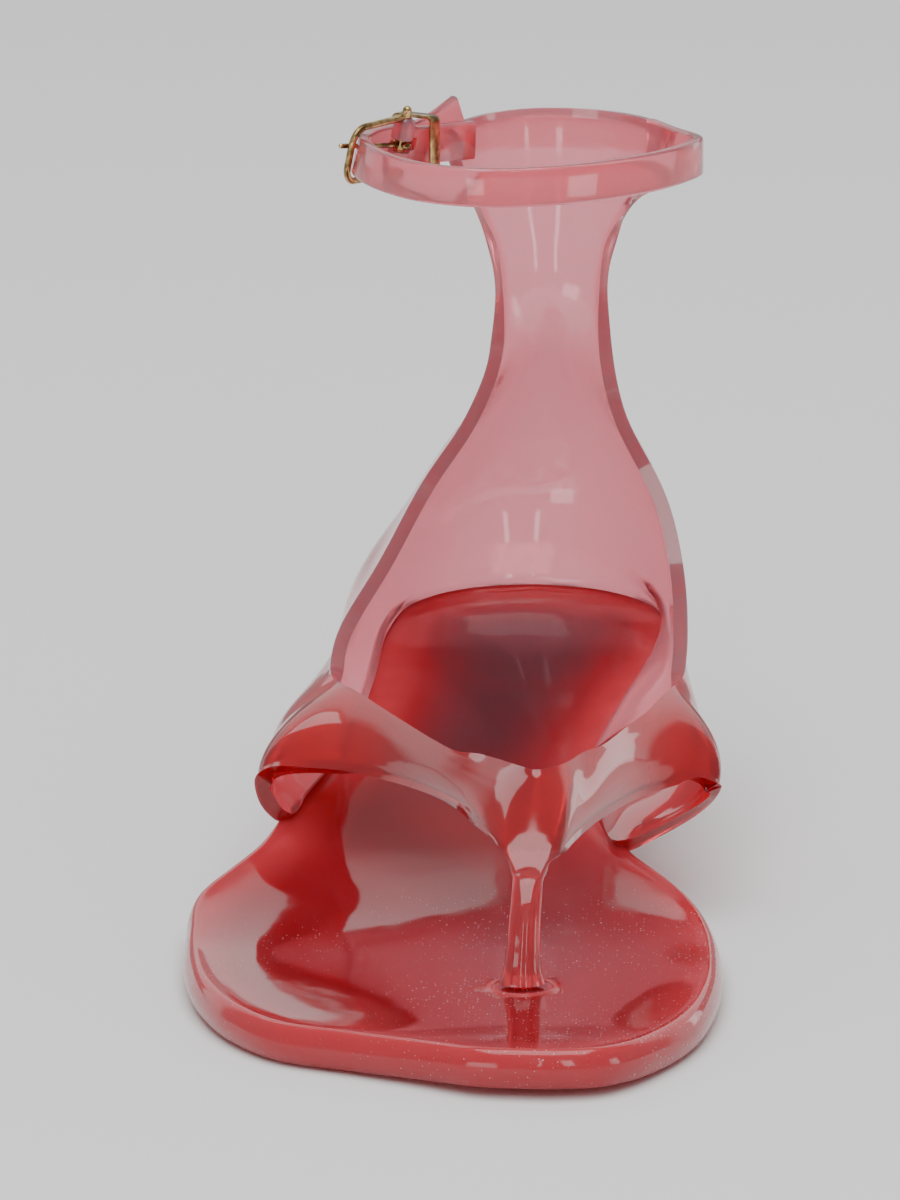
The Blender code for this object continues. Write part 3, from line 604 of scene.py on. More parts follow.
def smooth_shading(piece, degrees=35):
    """Smooth shading except at edges sharper than the angle."""
    piece.data.shade_smooth()
    piece.data.set_sharp_from_angle(angle=math.radians(degrees))


def cap_grid(ring, cross, height=None):
    """A grid across a ring, in rows from one side to the other, straight between them. Its inside
    follows the height, if given."""
    half = len(ring) // 2
    one_side = ring[: half + 1]
    other_side = np.concatenate([ring[:1], ring[: half - 1 : -1]])
    shares = np.linspace(0, 1, cross + 1)[None, :, None]
    grid = one_side[:, None, :] * (1 - shares) + other_side[:, None, :] * shares
    if height is not None:
        grid[:, 1:-1, 2] = height(grid[:, 1:-1, 1].ravel()).reshape(grid.shape[0], -1)
    return grid


def oval(count, fullness):
    """Points round an oval of unit size: the sine and cosine, each to the power of 2 over the
    fullness. A fullness of 2 is an ellipse, more is squarer."""
    angle = np.linspace(0, 2 * math.pi, count, endpoint=False)
    power = 2 / fullness
    across = np.sign(np.sin(angle)) * np.abs(np.sin(angle)) ** power
    along = np.sign(np.cos(angle)) * np.abs(np.cos(angle)) ** power
    return np.stack([across, along], axis=1)


def heel_ring(share, floor):
    """A ring of the heel at a share of its height: the oval of that level, each point raised by the
    share from the floor to the sole's underside."""
    rows = table(HEEL)
    across, along, wide, long = through(rows[:, 0], rows[:, 1:], np.array([share]))[0]
    flat = oval(HEEL_POINTS, HEEL_FULLNESS) * np.array([wide, long])
    flat += np.array([across * BALL_WIDTH, along * LENGTH])
    roof = under(flat[:, 1]) - CLEARANCE
    return np.column_stack([flat, floor + share * (roof - floor)])


def counter_row(row, count):
    """One level of the counter, from its lateral edge round the back to its medial edge: a part of
    an oval turned from the back point by the row's angle each way, with its sides pushed out by the
    belly."""
    lateral = row[0:3]
    medial = row[3:6]
    back = row[6:9]
    turn = math.radians(row[9])
    place = np.linspace(-1, 1, 10 * count)
    power = 2 / row[11]
    side = np.abs(np.sin(turn * place) / math.sin(turn)) ** power
    deep = np.clip((np.cos(turn * place) - math.cos(turn)) / (1 - math.cos(turn)), 0, 1) ** power
    edge = np.where((place < 0)[:, None], lateral, medial)
    across = back[0] + (edge[:, 0] - back[0]) * side
    along = edge[:, 1] + (back[1] - edge[:, 1]) * deep
    up = edge[:, 2] + (back[2] - edge[:, 2]) * smooth_step(1 - np.abs(place))
    push = row[10] * np.sin(math.pi * np.abs(place)) ** 2
    across = across + np.sign(place) * push
    return even_points(np.stack([across, along, up], axis=1), count)


def counter_grid(columns, rows):
    """The counter as a grid of points, from the level of the topline's corners to the collar."""
    scale = np.array([BALL_WIDTH, LENGTH, COLLAR_HEIGHT] * 3 + [1.0, 1.0, 1.0])
    sizes = table(COUNTER) * scale
    knots = chord_shares(sizes[:, 6:9])
    levels = through(knots, sizes, np.linspace(0, 1, rows))
    return np.stack([counter_row(level, columns) for level in levels])


def rim_path(first, last, count):
    """Points on the sole's rim under the wall, from the lateral side round the heel to the medial
    side: the outline moved in by WALL_INSET."""
    loop, outward = sole_loop(4 * SOLE_POINTS)
    inner = loop - outward * WALL_INSET
    near_first = int(np.argmin(np.linalg.norm(inner - first, axis=1)))
    near_last = int(np.argmin(np.linalg.norm(inner - last, axis=1)))
    path = even_curve(inner[near_first : near_last + 1 : 3], count)
    return np.column_stack([path, bed(path[:, 1]) + CLEARANCE])


def strap_edges(rows, count):
    """Low edge, top edge and bow of one side's strap, from the middle of the V to the corner, and
    which points stand on the sole."""
    scale = np.array([1.0] + [BALL_WIDTH, LENGTH, HEEL_RISE] * 2 + [1.0])
    sizes = table(rows) * scale
    place = np.linspace(0, 1, count)
    curve = through(sizes[:, 0], sizes[:, 1:], place)
    low = curve[:, 0:3]
    stands = place >= NOTCH
    low[stands, 2] = bed(low[stands, 1]) + CLEARANCE
    return low, curve[:, 3:6], curve[:, 6], stands


def ribbon_grid(front, back, rows):
    """The upper's lower part, from the middle of the V round the heel and back to the middle. Each
    column runs from its low point up a short foot and on to its top point, bowed outward in its
    middle, and bends at its top into the line of the counter above it."""
    lateral = strap_edges(STRAP_LATERAL, front)
    medial = strap_edges(STRAP_MEDIAL, front)
    shelf, above = counter_grid(back, back)[:2]
    rim = rim_path(lateral[0][-1, :2], medial[0][-1, :2], back)
    place = np.linspace(0, 1, back)
    sag = lateral[2][-1] * (1 - smooth_step(place / SWELL_FADE))
    sag += medial[2][-1] * (1 - smooth_step((1 - place) / SWELL_FADE))
    low, top, bow, stands = (
        np.concatenate([one[:-1], middle, other[-2::-1]])
        for one, middle, other in zip(lateral, (rim, shelf, sag, np.ones(back, bool)), medial)
    )
    ahead = np.gradient(top, axis=0)
    outward = unit(np.stack([-ahead[:, 1], ahead[:, 0], np.zeros(len(ahead))], axis=1))
    rise = (top - low) + outward * (4 * bow)[:, None]
    rise[stands] = (0.0, 0.0, 1.0)
    foot = low + unit(rise) * FOOT_HEIGHT
    leave = np.zeros((len(top), 1))
    behind = slice(front - 1, front - 1 + back)
    leave[behind, 0] = smooth_step(np.minimum(place, 1 - place) / SWELL_FADE)
    onward = top - foot
    onward[behind] = unit(above - shelf) * np.linalg.norm(shelf - rim, axis=1)[:, None]
    grid = [low]
    for share in np.linspace(0, 1, rows):
        lift = 4 * share * (1 - share)
        bend = share * share * (1 - share) * leave
        level = foot * (1 - share) + top * share + outward * (bow * lift)[:, None]
        grid.append(level + bend * (top - foot - onward))
    return np.stack(grid)


def floor_of_rim(along):
    """Height of the footbed inside its rim: a little under the rim's top, by the last row of the
    side's table."""
    floor = under(along)
    return floor + SOLE_SIDE[-1][2] * (bed(along) - floor)


def sole_piece():
    """The sole: rings up its side by the table of insets, closed by grids across the underside and
    the footbed. Its attribute of painted shade grows from 0 at the outline to 1 deep in the raised
    part, darker where less light reaches."""
    loop, outward = sole_loop(SOLE_POINTS)
    starts = np.array(WALL_STARTS) * LENGTH
    free = 1 - smooth_step((loop[:, 1] - starts[0]) / (starts[1] - starts[0]))
    rings = []
    for inset, rounding, share in SOLE_SIDE:
        flat = loop - outward * (inset + rounding * free)[:, None]
        low = under(flat[:, 1])
        rings.append(np.column_stack([flat, low + share * (bed(flat[:, 1]) - low)]))
    side = np.stack(rings)
    bottom = cap_grid(side[0], SOLE_CROSS, under)
    top = cap_grid(side[-1], SOLE_CROSS, floor_of_rim)
    grids = [(side, True), (bottom, False), (top, False)]
    # Painted shade: none on the side, darker inward from the outline and in the raised heel part
    cores = [np.zeros(side.shape[:2])]
    for points in (bottom, top):
        apart = points[:, :, None, :2] - loop[None, None, ::2, :]
        gap = np.linalg.norm(apart, axis=3).min(axis=2)
        raised = smooth_step((points[:, :, 1] / LENGTH - SHADE_RAISED_START) / SHADE_RAISED_SPAN)
        inner = smooth_step((gap - SHADE_INNER_START) / SHADE_INNER_SPAN)
        cores.append(0.5 * smooth_step(gap / SHADE_FULL) + 0.5 * inner * raised)
    piece = piece_from_grids("sole_moulding", grids, core=cores)
    modify(piece, "SUBSURF", levels=1, render_levels=1)
    apply_modifiers(piece)
    join_solid(piece, heel_piece())
    join_solid(piece, foot_ring_piece())
    smooth_shading(piece, 60)
    return piece


def foot_ring_piece():
    """The low ring in the footbed round the foot of the toe post: its section turned about the
    post's foot."""
    middle = to_size([TOE_POST[0][:3]], HEEL_RISE)[0]
    level = floor_of_rim(middle[1:2])[0]
    angle = np.linspace(0, 2 * math.pi, FOOT_RING_POINTS, endpoint=False)
    spoke = np.stack([np.cos(angle), np.sin(angle)], axis=1)
    sections = []
    for radius, rise in FOOT_RING:
        flat = radius * spoke + middle[:2]
        sections.append(np.column_stack([flat, np.full(len(flat), level + rise)]))
    # The ring takes a middle share of the sole's painted shade
    return piece_from_grids("foot_ring", [(np.array(sections), True)], core=0.5)


def heel_piece():
    """The heel block: oval rings that widen towards the sole by the table, and reach a little into
    it."""
    floor = HEEL_TIP_HEIGHT + CLEARANCE
    rings = np.stack([heel_ring(share, floor) for share in np.linspace(0, 1, HEEL_STEPS)])
    rings = np.concatenate([rings, rings[-1:] + np.array([0.0, 0.0, HEEL_SINK])])
    return capped_piece("heel_block", rings, HEEL_CROSS)


def heel_tip_piece():
    """The heel's top piece: the heel's lowest section as a block with its lower edge broken."""
    _, across, along, wide, long = HEEL[0]
    flat = oval(HEEL_POINTS, HEEL_FULLNESS)
    middle = np.array([across * BALL_WIDTH, along * LENGTH])
    rings = []
    for height, shrink in HEEL_TIP_EDGE:
        ring = flat * np.array([wide - shrink, long - shrink]) + middle
        rings.append(np.column_stack([ring, np.full(len(ring), height)]))
    piece = capped_piece("heel_top_piece", np.stack(rings), HEEL_CROSS)
    smooth_shading(piece)
    return piece


def post_piece():
    """The toe post: oval rings along its leaning centre line, widths by the table."""
    rows = table(TOE_POST)
    path = to_size(rows[:, :3], HEEL_RISE)
    place = np.linspace(0, 1, POST_STEPS)
    levels = through(chord_shares(path), np.column_stack([path, rows[:, 3:]]), place)
    shape = oval(POST_POINTS, POST_FULLNESS)
    ahead = unit(np.gradient(levels[:, :3], axis=0))
    ahead[0] = (0, 0, 1)
    depth = np.cross(ahead, np.array([1.0, 0.0, 0.0]))
    wide = shape[None, :, :1] * levels[:, None, 3:4] * np.array([1.0, 0.0, 0.0])
    deep = shape[None, :, 1:] * levels[:, None, 4:5] * depth[:, None, :]
    rings = levels[:, None, :3] + wide + deep
    return capped_piece("toe_post", rings, 6, red=POST_RED)


def band_piece(name, rows, count):
    """A strap: a flat section with rounded long edges, carried along a path of across, along, up
    and lean. The section stands upright across the path and is turned by the lean."""
    sizes = table(rows) * np.array([BALL_WIDTH, LENGTH, COLLAR_HEIGHT, 1.0])
    path = through(chord_shares(sizes[:, :3]), sizes, np.linspace(0, 1, count))
    lean = np.radians(path[:, 3])[:, None]
    path = path[:, :3]
    ahead = unit(np.gradient(path, axis=0))
    side = unit(np.cross(ahead, np.array([0.0, 0.0, 1.0])))
    rise = np.cross(side, ahead)
    turned = side * np.cos(lean) - rise * np.sin(lean)
    rise = rise * np.cos(lean) + side * np.sin(lean)
    side = turned
    far = STRAP_THICK / 2 - STRAP_EDGE
    high = STRAP_HEIGHT / 2 - STRAP_EDGE
    shape = arc((far, high), STRAP_EDGE, 0, 90, 5) + arc((-far, high), STRAP_EDGE, 90, 180, 5)
    shape += [(-out, -up) for out, up in shape]
    out = np.array(shape)[None, :, :1]
    up = np.array(shape)[None, :, 1:]
    rings = path[:, None, :] + side[:, None, :] * out + rise[:, None, :] * up
    half_way = len(shape) // 2
    ends = []
    for ring in (rings[0], rings[-1]):
        ends.append((np.stack([ring[:half_way], ring[: half_way - 1 : -1]]), False))
    return piece_from_grids(name, [(rings, True)] + ends, red=STRAP_RED)


def buckle_axes():
    """Middle of the buckle's frame, and its directions toward the bar, up the frame and off the
    ankle."""
    middle = to_size([BUCKLE_MIDDLE], COLLAR_HEIGHT)[0]
    heading = math.radians(BUCKLE_HEADING)
    lean = math.radians(BUCKLE_LEAN)
    back = np.array([math.sin(heading), math.cos(heading), 0.0])
    inward = np.array([math.cos(heading), -math.sin(heading), 0.0])
    rise = np.array([0.0, 0.0, math.cos(lean)]) + inward * math.sin(lean)
    return middle, back, rise, np.cross(rise, back)


def on_buckle(back, rise, out=0.0):
    """A point at distances from the middle of the frame."""
    middle, back_way, rise_way, out_way = buckle_axes()
    return middle + back_way * back + rise_way * rise + out_way * out


def arc(middle, radius, first, last, count):
    """Points of an arc in the plane, between two angles in degrees."""
    angles = np.radians(np.linspace(first, last, count))
    return [(middle[0] + radius * math.cos(a), middle[1] + radius * math.sin(a)) for a in angles]


def tube_piece(name, points, radius, sides=20, dome_turn=80):
    """A round wire: a circle carried along the points, turned as little as possible. Its ends are
    domed by rings that shrink with the cosine as they move out with the sine, up to an angle in
    degrees, or flat at 0."""
    points = np.asarray(points, float)
    ahead = unit(np.gradient(points, axis=0))
    across = unit(np.cross(ahead[0], TUBE_START))
    frames = []
    for way in ahead:
        across = unit(across - way * across.dot(way))
        frames.append((across, np.cross(way, across)))
    frames = np.array(frames)
    dome = np.radians(np.linspace(0, dome_turn, 5))
    stations = [(0, -math.sin(a), math.cos(a)) for a in dome[::-1]]
    stations += [(i, 0.0, 1.0) for i in range(1, len(points) - 1)]
    stations += [(len(points) - 1, math.sin(a), math.cos(a)) for a in dome]
    angle = np.linspace(0, 2 * math.pi, sides, endpoint=False)
    rings = []
    for i, reach, share in stations:
        spoke = frames[i, 0] * np.cos(angle)[:, None] + frames[i, 1] * np.sin(angle)[:, None]
        rings.append(points[i] + ahead[i] * reach * radius + spoke * radius * share)
    piece = capped_piece(name, np.array(rings), 4)
    smooth_shading(piece, 60)
    return piece


def near(distance, reach):
    """1 at no distance, falling like a bell to a third at the reach."""
    return np.exp(-((distance / reach) ** 2))


def sheet_grids(front, back, low_rows, high_rows):
    """The upper's two grids, with how thick the wall is at each point and how red it looks, both
    from 0 to 1. The thick bead runs along the straps' low edge, a finer one along the other open
    edges, and the straps are thicker than the counter, most along their middle. Inside the post
    the sheet thins out."""
    low = ribbon_grid(front, back, low_rows)
    high = counter_grid(back, high_rows)
    columns = low.shape[1]
    from_middle = np.minimum(np.arange(columns), np.arange(columns)[::-1]) / (front - 1)
    on_strap = 1 - smooth_step((from_middle - STRAP_FADE[0]) / STRAP_FADE[1])
    stands = from_middle >= NOTCH
    to_low = np.linalg.norm(low - low[:1], axis=2)
    to_top = np.linalg.norm(low - low[-1:], axis=2)
    low_bead = near(to_low, LOW_REACH) * np.where(stands, 0.0, 1.0)
    top_fade = 1 - smooth_step((from_middle - TOP_BEAD_FADE[0]) / TOP_BEAD_FADE[1])
    top_bead = near(to_top, TOP_REACH) * top_fade
    to_lateral = np.linalg.norm(high - high[:, :1], axis=2)
    to_medial = np.linalg.norm(high - high[:, -1:], axis=2)
    to_collar = np.linalg.norm(high - high[-1:], axis=2)
    side_bead = near(np.minimum(to_lateral, to_medial), SIDE_REACH)
    side_bead = np.maximum(side_bead, near(to_collar, SIDE_REACH))
    across = to_low / (to_low + to_top)
    body = on_strap[None, :] * (STRAP_BODY + STRAP_SWELL * across * (1 - across))
    out_of_post = smooth_step((from_middle - OUT_OF_POST[0]) / OUT_OF_POST[1])
    low_thick = np.maximum.reduce([body, low_bead * out_of_post, TOP_THICK * top_bead])
    low_thick *= 1 - (1 - out_of_post) * near(to_low, POST_THINNING)
    on_strap = np.broadcast_to(on_strap, to_low.shape)
    low_red = np.maximum.reduce([on_strap, LOW_RED * low_bead, TOP_RED * top_bead])
    thick = [low_thick, SIDE_THICK * side_bead]
    red = [low_red, SIDE_RED * side_bead]
    return [(low, False), (high, False)], thick, red


def group_from(piece, name, weights):
    """A vertex group with the weights, in steps of a twentieth."""
    group = piece.vertex_groups.new(name=name)
    steps = np.round(np.asarray(weights) * 20).astype(int)
    for step in range(1, 21):
        group.add(np.flatnonzero(steps == step).tolist(), step / 20, "REPLACE")
    return group.name


def read_points(values, name, width=1):
    """A value of every point of a mesh, or of an attribute, as an array of that many columns."""
    read = np.zeros(len(values) * width, np.float32)
    values.foreach_get(name, read)
    return read.reshape(-1, width) if width > 1 else read


def upper_piece():
    """The moulded upper: one smooth sheet given its wall, joined with the toe post, the ankle strap
    and the tab."""
    grids, thick, red = sheet_grids(SHEET_STRAP, SHEET_BACK, SHEET_LOW, SHEET_HIGH)
    piece = piece_from_grids("upper_moulding", grids, thick=thick, red=red)
    weights = read_points(piece.data.attributes["thick"].data, "value")
    work = bmesh.new()
    work.from_mesh(piece.data)
    inner = [0.0 if point.is_boundary else 1.0 for point in work.verts]
    work.free()
    inside = group_from(piece, "inside", inner)
    modify(piece, "SMOOTH", factor=0.5, iterations=SHEET_SMOOTHING, vertex_group=inside)
    modify(piece, "SUBSURF", levels=1, render_levels=1)
    modify(
        piece, "SOLIDIFY", thickness=BEAD, offset=0.0,
        vertex_group=group_from(piece, "thick", weights), thickness_vertex_group=WALL / BEAD,
    )
    round_edges(piece, SHEET_ROUNDING, 3, 60)
    apply_modifiers(piece)
    piece.vertex_groups.clear()
    for other in (post_piece(), band_piece("strap", ANKLE_STRAP, STRAP_STEPS)):
        join_solid(piece, other)
    melt(piece)
    join_solid(piece, tab_piece())
    redden(piece)
    smooth_shading(piece, 38)
    return piece


def tab_piece():
    """The tab that carries the buckle: a short band with an eye along its end, slotted in its
    middle for the prong's ring and bored for the bar."""
    tab = band_piece("tab", BUCKLE_TAB, TAB_STEPS)
    half = STRAP_HEIGHT / 2
    hole = BAR_RADIUS + CLEARANCE
    for name, line, radius, dome_turn, operation in (
        ("eye", np.linspace(-1, 1, 5) * half, hole + EYE_WALL, 80, "UNION"),
        ("slot", np.linspace(-1, 1, 3) * PRONG_SLOT / 2, hole + 2.5 * EYE_WALL, 0, "DIFFERENCE"),
        ("bore", np.linspace(-1, 1, 3) * 3 * half, hole, 80, "DIFFERENCE"),
    ):
        points = [on_buckle(FRAME_LENGTH / 2, rise) for rise in line]
        join_solid(tab, tube_piece(name, points, radius, 28, dome_turn), operation)
    return tab


def redden(piece):
    """Sets how red the toe post and the ankle strap look after they joined the sheet: by the
    distance from the post's centre line, and by height."""
    places = read_points(piece.data.vertices, "co", 3)
    kept = piece.data.attributes["red"].data
    red = read_points(kept, "value")
    post = placed(to_size([row[:3] for row in TOE_POST], HEEL_RISE))
    up = places[:, 2]
    axis = np.stack([np.interp(up, post[:, 2], post[:, k]) for k in (0, 1)], axis=1)
    apart = np.linalg.norm(places[:, :2] - axis, axis=1)
    at_post = 1 - smooth_step((apart - POST_RED_REACH) / POST_RED_FADE)
    at_post[up > post[-1, 2] + POST_RED_ABOVE] = 0.0
    at_strap = smooth_step((up - STRAP_LEVEL * COLLAR_HEIGHT + 0.6 * STRAP_HEIGHT) / STRAP_RED_FADE)
    red = red * (1 - at_post) + POST_RED * at_post
    red = red * (1 - at_strap) + STRAP_RED * at_strap
    kept.foreach_set("value", red.astype(np.float32))


def melt(piece):
    """Rounds the creases where the V joins the post: points near its middle move towards their
    neighbours' mean, less with distance."""
    places = read_points(piece.data.vertices, "co", 3)
    distance = np.linalg.norm(places - placed([JOIN_MIDDLE])[0], axis=1)
    pull = 1 - smooth_step((distance - 0.4 * JOIN_REACH) / (0.6 * JOIN_REACH))
    name = group_from(piece, "melt", pull)
    modify(piece, "SMOOTH", factor=0.5, iterations=JOIN_STEPS, vertex_group=name)
    apply_modifiers(piece)
    piece.vertex_groups.clear()


def frame_points():
    """The buckle frame's line: along one arm, round two corners of the outer end and back along the
    other arm."""
    reach = FRAME_LENGTH / 2
    half = FRAME_HEIGHT / 2
    corner = FRAME_CORNER
    arm_end = reach - BAR_RADIUS - CLEARANCE
    line = [(arm_end, half), ((arm_end + corner - reach) / 2, half)]
    line += arc((corner - reach, half - corner), corner, 90, 180, 16)
    line += arc((corner - reach, corner - half), corner, 180, 270, 16)
    line += [((arm_end + corner - reach) / 2, -half), (arm_end, -half)]
    return [on_buckle(back, rise) for back, rise in line]


def prong_points():
    """The prong's line: an open ring round the bar, then straight over the frame's outer end."""
    start = on_buckle(FRAME_LENGTH / 2 - BAR_RADIUS - CLEARANCE - PRONG_RADIUS, 0.0)
    over = on_buckle(-FRAME_LENGTH / 2, PRONG_RISE, FRAME_WIRE + CLEARANCE + PRONG_RADIUS)
    ahead = unit(over - start)
    radius = BAR_RADIUS + CLEARANCE + PRONG_RADIUS
    ring = arc((FRAME_LENGTH / 2, 0.0), radius, -120, 172, 30)
    points = [on_buckle(back, 0.0, out) for back, out in ring]
    tip = over + ahead * (FRAME_WIRE + PRONG_OVERHANG)
    return points + [start + (tip - start) * share for share in np.linspace(0, 1, 12)]


def keeper_piece():
    """The keeper: a thin flat loop with round corners about the tab and the strap's tail. Its inner
    and outer lines are carried across its length and joined at both ends."""
    tab = to_size([row[:3] for row in BUCKLE_TAB], COLLAR_HEIGHT)
    ahead = unit((tab[2] - tab[-1]) * np.array([1.0, 1.0, 0.0]))
    outward = np.array([-ahead[1], ahead[0], 0.0])
    middle = tab[-1] + ahead * KEEPER_PLACE
    middle[2] = tab[2:, 2].mean()
    inner = STRAP_THICK / 2 + 4 * CLEARANCE
    shape = []
    for grow in (0.0, KEEPER_THICK):
        corner = KEEPER_CORNER + grow
        close = corner - inner - grow
        far = KEEPER_DEPTH - inner + grow - corner
        top = STRAP_HEIGHT / 2 + 4 * CLEARANCE + grow - corner
        loop = []
        for turn, middle_of in enumerate(((far, top), (close, top), (close, -top), (far, -top))):
            loop += arc(middle_of, corner, 90 * turn, 90 * turn + 90, 9)
        shape.append(loop)
    upright = np.array([0.0, 0.0, 1.0])
    sections = []
    for line, step in ((0, -1), (1, -1), (1, 1), (0, 1), (0, -1)):
        start = middle + ahead * step * KEEPER_LENGTH / 2
        sections.append([start + outward * out + upright * up for out, up in shape[line]])
    piece = piece_from_grids("keeper_loop", [(np.array(sections), True)])
    round_edges(piece, KEEPER_BREAK, 2, 50)
    apply_modifiers(piece)
    smooth_shading(piece)
    return piece


def node(tree, kind, links=(), steps=(), **settings):
    """Adds a shader node. Sets its properties and sockets, and a colour ramp's steps of (share,
    colour), and links (own socket, other node, its socket)."""
    new = tree.nodes.new("ShaderNode" + kind)
    for key, value in settings.items():
        if hasattr(new, key):
            setattr(new, key, value)
        else:
            new.inputs[key.replace("_", " ")].default_value = value
    if steps:
        elements = new.color_ramp.elements
        while len(elements) < len(steps):
            elements.new(0.5)
        for element, (share, code) in zip(elements, steps):
            element.position = share
            element.color = (*linear(code), 1.0)
    for own, other, socket in links:
        tree.links.new(other.outputs[socket], new.inputs[own])
    return new


def new_material(name, **sockets):
    """A Principled material with its sockets set, with its shader and its object coordinates."""
    material = bpy.data.materials.new(name)
    material.use_nodes = True
    tree = material.node_tree
    shader = tree.nodes["Principled BSDF"]
    for key, value in sockets.items():
        shader.inputs[key.replace("_", " ")].default_value = value
    place = (node(tree, "TexCoord"), "Object")
    return material, tree, shader, place


def feed(tree, other, socket, shader, own):
    """Links a node's output to a socket of the shader, or of another node."""
    tree.links.new(other.outputs[socket], shader.inputs[own])


def scale_of(millimetres):
    """A pattern's scale, from the size of one of its waves, cells or grains."""
    return 1000 / millimetres


def jelly_material(name, attribute, steps, clear, density, gloss, dusty):
    """Soft translucent PVC, injection moulded in a polished mould. Thin walls look pale pink, and
    thick ones deep red, in steps of an attribute; in the sole the steps are painted shade, darker
    where less light reaches its middle. Its surface flows a little, and a footbed carries specks of
    dust."""
    material, tree, shader, place = new_material(
        name,
        Roughness=0.06,
        IOR=1.53,
        Specular_IOR_Level=gloss,
        Transmission_Weight=clear,
        Subsurface_Weight=1.0,
        Subsurface_Radius=(1.0, 0.3, 0.32),
        Subsurface_Scale=0.006,
    )
    body = (*linear("#F9606E"), 1.0)
    depth = node(tree, "VolumeAbsorption", Color=body, Density=density)
    feed(tree, depth, "Volume", tree.nodes["Material Output"], "Volume")
    share = node(tree, "Attribute", attribute_name=attribute)
    tint = node(tree, "ValToRGB", [("Fac", share, "Fac")], steps)
    feed(tree, tint, "Color", shader, "Base Color")
    flow = node(
        tree, "TexNoise", [("Vector", *place)],
        Scale=scale_of(FLOW_WAVE), Detail=2.0, Roughness=0.5,
    )
    relief = node(tree, "Bump", [("Height", flow, "Fac")], Strength=0.12, Distance=0.0006)
    feed(tree, relief, "Normal", shader, "Normal")
    if dusty:
        add_dust(tree, place, tint, shader)
    return material


def add_dust(tree, place, tint, shader):
    """Pale specks under half a millimetre, thicker in some places than in others and towards the
    toe: in each cell the part that lies nearer to its middle than a size drawn by chance."""
    cells = node(tree, "TexVoronoi", [("Vector", *place)], Scale=scale_of(DUST_CELL))
    chance = node(tree, "SeparateXYZ", [("Vector", cells, "Color")])
    drift = node(tree, "TexNoise", [("Vector", *place)], Scale=scale_of(DUST_DRIFT), Detail=2.0)
    gathered = node(
        tree, "MapRange", [("Value", drift, "Fac")],
        From_Min=0.35, From_Max=0.7, To_Min=0.12, To_Max=0.36,
    )
    parts = node(tree, "SeparateXYZ", [("Vector", *place)])
    ahead = node(
        tree, "MapRange", [("Value", parts, "Y")],
        From_Min=-0.035, From_Max=0.01, To_Min=1.0, To_Max=0.2,
    )
    most = node(tree, "Math", [(0, gathered, "Result"), (1, ahead, "Result")], operation="MULTIPLY")
    size = node(tree, "Math", [(0, most, "Value"), (1, chance, "X")], operation="MULTIPLY")
    over = node(tree, "Math", [(0, size, "Value"), (1, cells, "Distance")], operation="SUBTRACT")
    share = node(
        tree, "MapRange", [("Value", over, "Value")],
        From_Min=0.0, From_Max=0.08, To_Max=0.55,
    )
    mix = node(tree, "Mix", [("Factor", share, "Result")], data_type="RGBA")
    feed(tree, tint, "Color", mix, "A")
    mix.inputs["B"].default_value = (*linear("#F3D9DA"), 1.0)
    feed(tree, mix, "Result", shader, "Base Color")
    dull = node(tree, "MapRange", [("Value", share, "Result")], To_Min=0.05, To_Max=0.5)
    feed(tree, dull, "Result", shader, "Roughness")


def gold_material():
    """Gold plated brass, polished, then worn: brown tarnish in patches."""
    material, tree, shader, place = new_material("gold_plated_brass", Metallic=1.0)
    wear = node(tree, "TexNoise", [("Vector", *place)], Scale=scale_of(WEAR_PATCH), Detail=3.0)
    tint = node(tree, "ValToRGB", [("Fac", wear, "Fac")], GOLD_STEPS)
    feed(tree, tint, "Color", shader, "Base Color")
    rough = node(
        tree, "MapRange", [("Value", wear, "Fac")],
        From_Min=0.3, From_Max=0.7, To_Min=0.3, To_Max=0.14,
    )
    feed(tree, rough, "Result", shader, "Roughness")
    return material


def lift_material():
    """Moulded rubber of the heel's top piece: matte, finely grained."""
    color = (*linear("#6E2B30"), 1.0)
    material, tree, shader, place = new_material(
        "heel_lift_rubber", Base_Color=color, Roughness=0.55
    )
    grain = node(tree, "TexNoise", [("Vector", *place)], Scale=scale_of(RUBBER_GRAIN), Detail=3.0)
    relief = node(tree, "Bump", [("Height", grain, "Fac")], Strength=0.3, Distance=0.0001)
    feed(tree, relief, "Normal", shader, "Normal")
    return material


def dress(piece, material, slot, *nodes):
    """Gives a piece its material and lets it ride in place of CAD nodes."""
    piece.data.materials.clear()
    piece.data.materials.append(material)
    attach(piece, "root")
    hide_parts(*nodes)


def add_sweep():
    """A pale floor that curves up into a backdrop far behind: a straight line, a quarter circle and
    a short upright line, carried across. It is painted a little paler at its far end, painted light
    where the lamps reach it less."""
    run = np.linspace(0, 1, 40)
    flat = run < BEND_STARTS
    bend = np.radians(np.clip((run - BEND_STARTS) / (BEND_ENDS - BEND_STARTS), 0, 1) * 90)
    straight = SWEEP_FRONT + run / BEND_STARTS * (SWEEP_BEND - SWEEP_FRONT)
    y = np.where(flat, straight, SWEEP_BEND + SWEEP_RADIUS * np.sin(bend))
    z = np.where(flat, 0.0, SWEEP_RADIUS * (1 - np.cos(bend)))
    z += np.clip((run - BEND_ENDS) / (1 - BEND_ENDS), 0, 1) * SWEEP_WALL
    across = np.array([-SWEEP_HALF_WIDTH, 0.0, SWEEP_HALF_WIDTH])
    lines = np.broadcast_arrays(across[None, :], y[:, None], z[:, None] - CLEARANCE)
    mesh = bpy.data.meshes.new("studio_sweep")
    points = np.stack(lines, axis=-1).reshape(-1, 3)
    mesh.from_pydata(points.tolist(), [], grid_faces(len(run), len(across), 0))
    mesh.shade_smooth()
    material, tree, shader, place = new_material("painted_sweep", Roughness=0.9)
    # Painted light: paler towards the far end
    parts = node(tree, "SeparateXYZ", [("Vector", *place)])
    far = node(tree, "MapRange", [("Value", parts, "Y")], From_Min=-0.2, From_Max=1.2)
    shade = node(tree, "ValToRGB", [("Fac", far, "Result")], SWEEP_STEPS)
    feed(tree, shade, "Color", shader, "Base Color")
    mesh.materials.append(material)
    add_object("studio_sweep", mesh)


